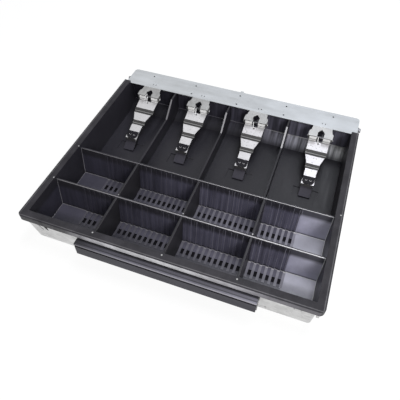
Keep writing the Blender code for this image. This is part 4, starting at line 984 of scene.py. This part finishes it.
def makeHandle():
    # the grip, with painted shading on its top, a painted highlight stripe above its groove and painted
    # shade within it
    s = panShape
    handle = startFromNode("pull_handle", "pullHandle")
    addFinishes(handle, *(plastics[name] for name in (
        "handlePlastic", "handleTopShading", "handleHighlight", "slotShade")))
    low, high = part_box("pull_handle")
    cutAcross(handle, (0, 0, s["grooveLow"]), (0, 0, 1))
    colourFaces(handle, "handleTopShading", lambda spot, normal: normal.z > s["topUp"]
                and spot.z > high.z - s["gripTop"])
    colourFaces(handle, "handleHighlight", lambda spot, normal: normal.z < s["frontUp"]
                and spot.z > s["grooveTop"] and spot.y < low.y + s["lineDepth"])
    colourFaces(handle, "slotShade", lambda spot, normal: s["grooveLow"] < spot.z < s["grooveTop"]
                and spot.y < low.y + s["grooveDepth"])
    place(handle, "pull_handle", "handle_plastic", s["gripSmooth"], keep=True)


makePan()
makeHandle()
print("pan made")


# clip bar and its screws

barShape = {
    "edge": (0.00025, 2, 40, 0.0012), "screwEdge": (0.0003, 2, 50, 0.0012),
    "front": 0.1302, "margin": 0.0004, "foldLow": 0.0485,
}


def makeBar():
    s = barShape
    bar = startFromNode("clip_bar", "clipBar")
    addFinishes(bar, finish["plated_steel"], shadedSteel, foldHighlight)
    softenEdges(bar, *s["edge"], clamp=True)
    # the tongues get painted shade and the fold a painted highlight
    colourFaces(bar, "shadedSteel", lambda spot, normal: spot.y < s["front"] - s["margin"])
    colourFaces(bar, "foldHighlight", lambda spot, normal: abs(spot.y - s["front"]) < s["margin"]
                and spot.z > s["foldLow"])
    place(bar, "clip_bar", "plated_steel", keep=True)
    for side in ("left", "right"):
        dressNode(f"bar_screw_{side}", f"barScrew{side.title()}", "dark_steel", s["screwEdge"])


makeBar()
print("bar made")


# clips

def armFrame(number):
    s = clipShape
    spot = Vector((s["places"][number - 1], s["pivotY"], s["pivotZ"]))
    return Matrix.Translation(spot) @ Matrix.Rotation(radians(s["angle"]), 4, "X")


def springLine():
    # the wire's middle line in the arm's own frame: front leg, coil, rear leg
    s = clipShape
    radius = s["coilRadius"]
    legY, legZ = s["legTip"]
    first = atan2(legZ, -legY) + acos(radius / hypot(legY, legZ))
    last = pi / 2 + 2 * pi * s["turns"]
    width = s["pitch"] * s["turns"]
    points = [(s["legTipX"], legY, legZ)]
    steps = s["pointsPerTurn"] * s["turns"]
    for step in range(steps + 1):
        share = step / steps
        angle = first + (last - first) * share
        points.append((-width / 2 + width * share, -radius * cos(angle), radius * sin(angle)))
    return points + [(width / 2, s["rearLeg"], radius)]


def makeSpring(number):
    s = clipShape
    points = springLine()
    wire = bpy.data.curves.new(f"clipSpring{number}", "CURVE")
    wire.dimensions = "3D"
    wire.bevel_depth = s["wire"] / 2
    wire.bevel_resolution = s["wireRound"]
    wire.use_fill_caps = True
    line = wire.splines.new("POLY")
    line.points.add(len(points) - 1)
    for point, spot in zip(line.points, points):
        point.co = (*spot, 1)
    spring = bpy.data.objects.new(f"clipSpring{number}", wire)
    bpy.context.scene.collection.objects.link(spring)
    hold(spring)
    bpy.ops.object.convert(target="MESH")
    spring = bpy.context.object
    spring.data.transform(armFrame(number))
    addFinishes(spring, finish["spring_wire"], knuckleShine)
    legsFrom = s["coilRadius"] + s["wire"] / 2
    # the spring's legs get the painted reflection
    colourFaces(spring, "knuckleShine", lambda spot, normal: abs(alongArm(spot)) > legsFrom)
    place(spring, f"clip_spring_{number}", "spring_wire", s["wireSmooth"], keep=True)


def makePin(number):
    s = clipShape
    spot = (s["places"][number - 1], s["pivotY"], s["pivotZ"])
    letGo()
    bpy.ops.mesh.primitive_cylinder_add(vertices=s["pinSides"], radius=s["pinRadius"],
                                        depth=2 * s["pinHalf"], location=spot, rotation=(0, pi / 2, 0))
    pin = bpy.context.object
    pin.name = f"clipPin{number}"
    bpy.ops.object.transform_apply(location=True, rotation=True, scale=True)
    softenEdges(pin, *s["pinEdge"])
    addFinishes(pin, finish["dark_steel"], knuckleShine)
    # the pin's ends get the painted reflection
    colourFaces(pin, "knuckleShine", lambda spot, normal: abs(normal.x) > s["pinEnd"])
    place(pin, f"clip_pin_{number}", "dark_steel", s["wireSmooth"], keep=True)


def makeFoot(number):
    # the shoe, with two U-shaped moulding marks on its cap painted light as highlights, and its front face
    # painted lighter against its shade
    s = clipShape
    foot = startFromNode(f"clip_foot_{number}", f"clipFoot{number}")
    addFinishes(foot, finish["foot_plastic"], plastics["markHighlight"], plastics["footFrontLit"])
    colourFaces(foot, "footFrontLit", lambda spot, normal: normal.y < s["shoeFront"] and spot.z < s["footTop"])
    softenEdges(foot, *s["footEdge"], clamp=True)
    turned = armFrame(number)
    across = turned.to_3x3() @ Vector((0, 1, 0))
    ringSegments, wireSegments = s["markSegments"]
    for side in (-1, 1):
        spot = turned @ Vector((side * s["markX"], -s["reach"] + s["markY"], s["capTop"]))
        openForParts(foot)
        bpy.ops.mesh.primitive_torus_add(major_radius=s["markRadius"], minor_radius=s["markWire"],
                                         major_segments=ringSegments, minor_segments=wireSegments,
                                         location=spot, rotation=(radians(s["angle"]), 0, 0))
        colourParts(foot, "markHighlight")
        bpy.ops.mesh.bisect(plane_co=spot, plane_no=across, use_fill=True, clear_outer=True)
        bpy.ops.object.mode_set(mode="OBJECT")
    place(foot, f"clip_foot_{number}", "foot_plastic", keep=True)


def makeArm(number):
    s = clipShape
    arm = startFromNode(f"clip_arm_{number}", f"clipArm{number}")
    softenEdges(arm, *s["armEdge"], clamp=True)
    addFinishes(arm, finish["clip_steel"], bandFinish, knuckleShine, plastics["lipGrey"])
    turned = armFrame(number)
    middle = s["places"][number - 1]
    for station in (s["capEnd"], s["knuckle"]):
        cutAcross(arm, turned @ Vector((0, -station, 0)), turned.to_3x3() @ Vector((0, 1, 0)))
    for side in (-1, 1):
        cutAcross(arm, turned @ Vector((side * s["capHalf"], 0, 0)), (1, 0, 0))
    for first, last in s["bands"]:
        colourFaces(arm, "bandFinish", lambda spot, normal: first < alongArm(spot) < last)
    # the knuckle gets the painted reflection
    colourFaces(arm, "knuckleShine", lambda spot, normal: alongArm(spot) < s["knuckle"]
                and normal.z > s["under"])
    colourFaces(arm, "lipGrey", lambda spot, normal: alongArm(spot) > s["capEnd"]
                and (normal.y < s["tipFront"] or abs(spot.x - middle) < s["capHalf"]))
    place(arm, f"clip_arm_{number}", "clip_steel", s["armSmooth"], keep=True)


for number in (1, 2, 3, 4):
    makeArm(number)
    makePin(number)
    makeSpring(number)
    makeFoot(number)
print("clips made")

for name, node in nodes.items():      # every node keeps a finish of its own, hidden or not
    first = node.data.materials[0] if node.data.materials else None
    slot = first.name.split(".")[0] if first else ""
    if slot in finish:
        node.material_slots[0].material = finish[slot]
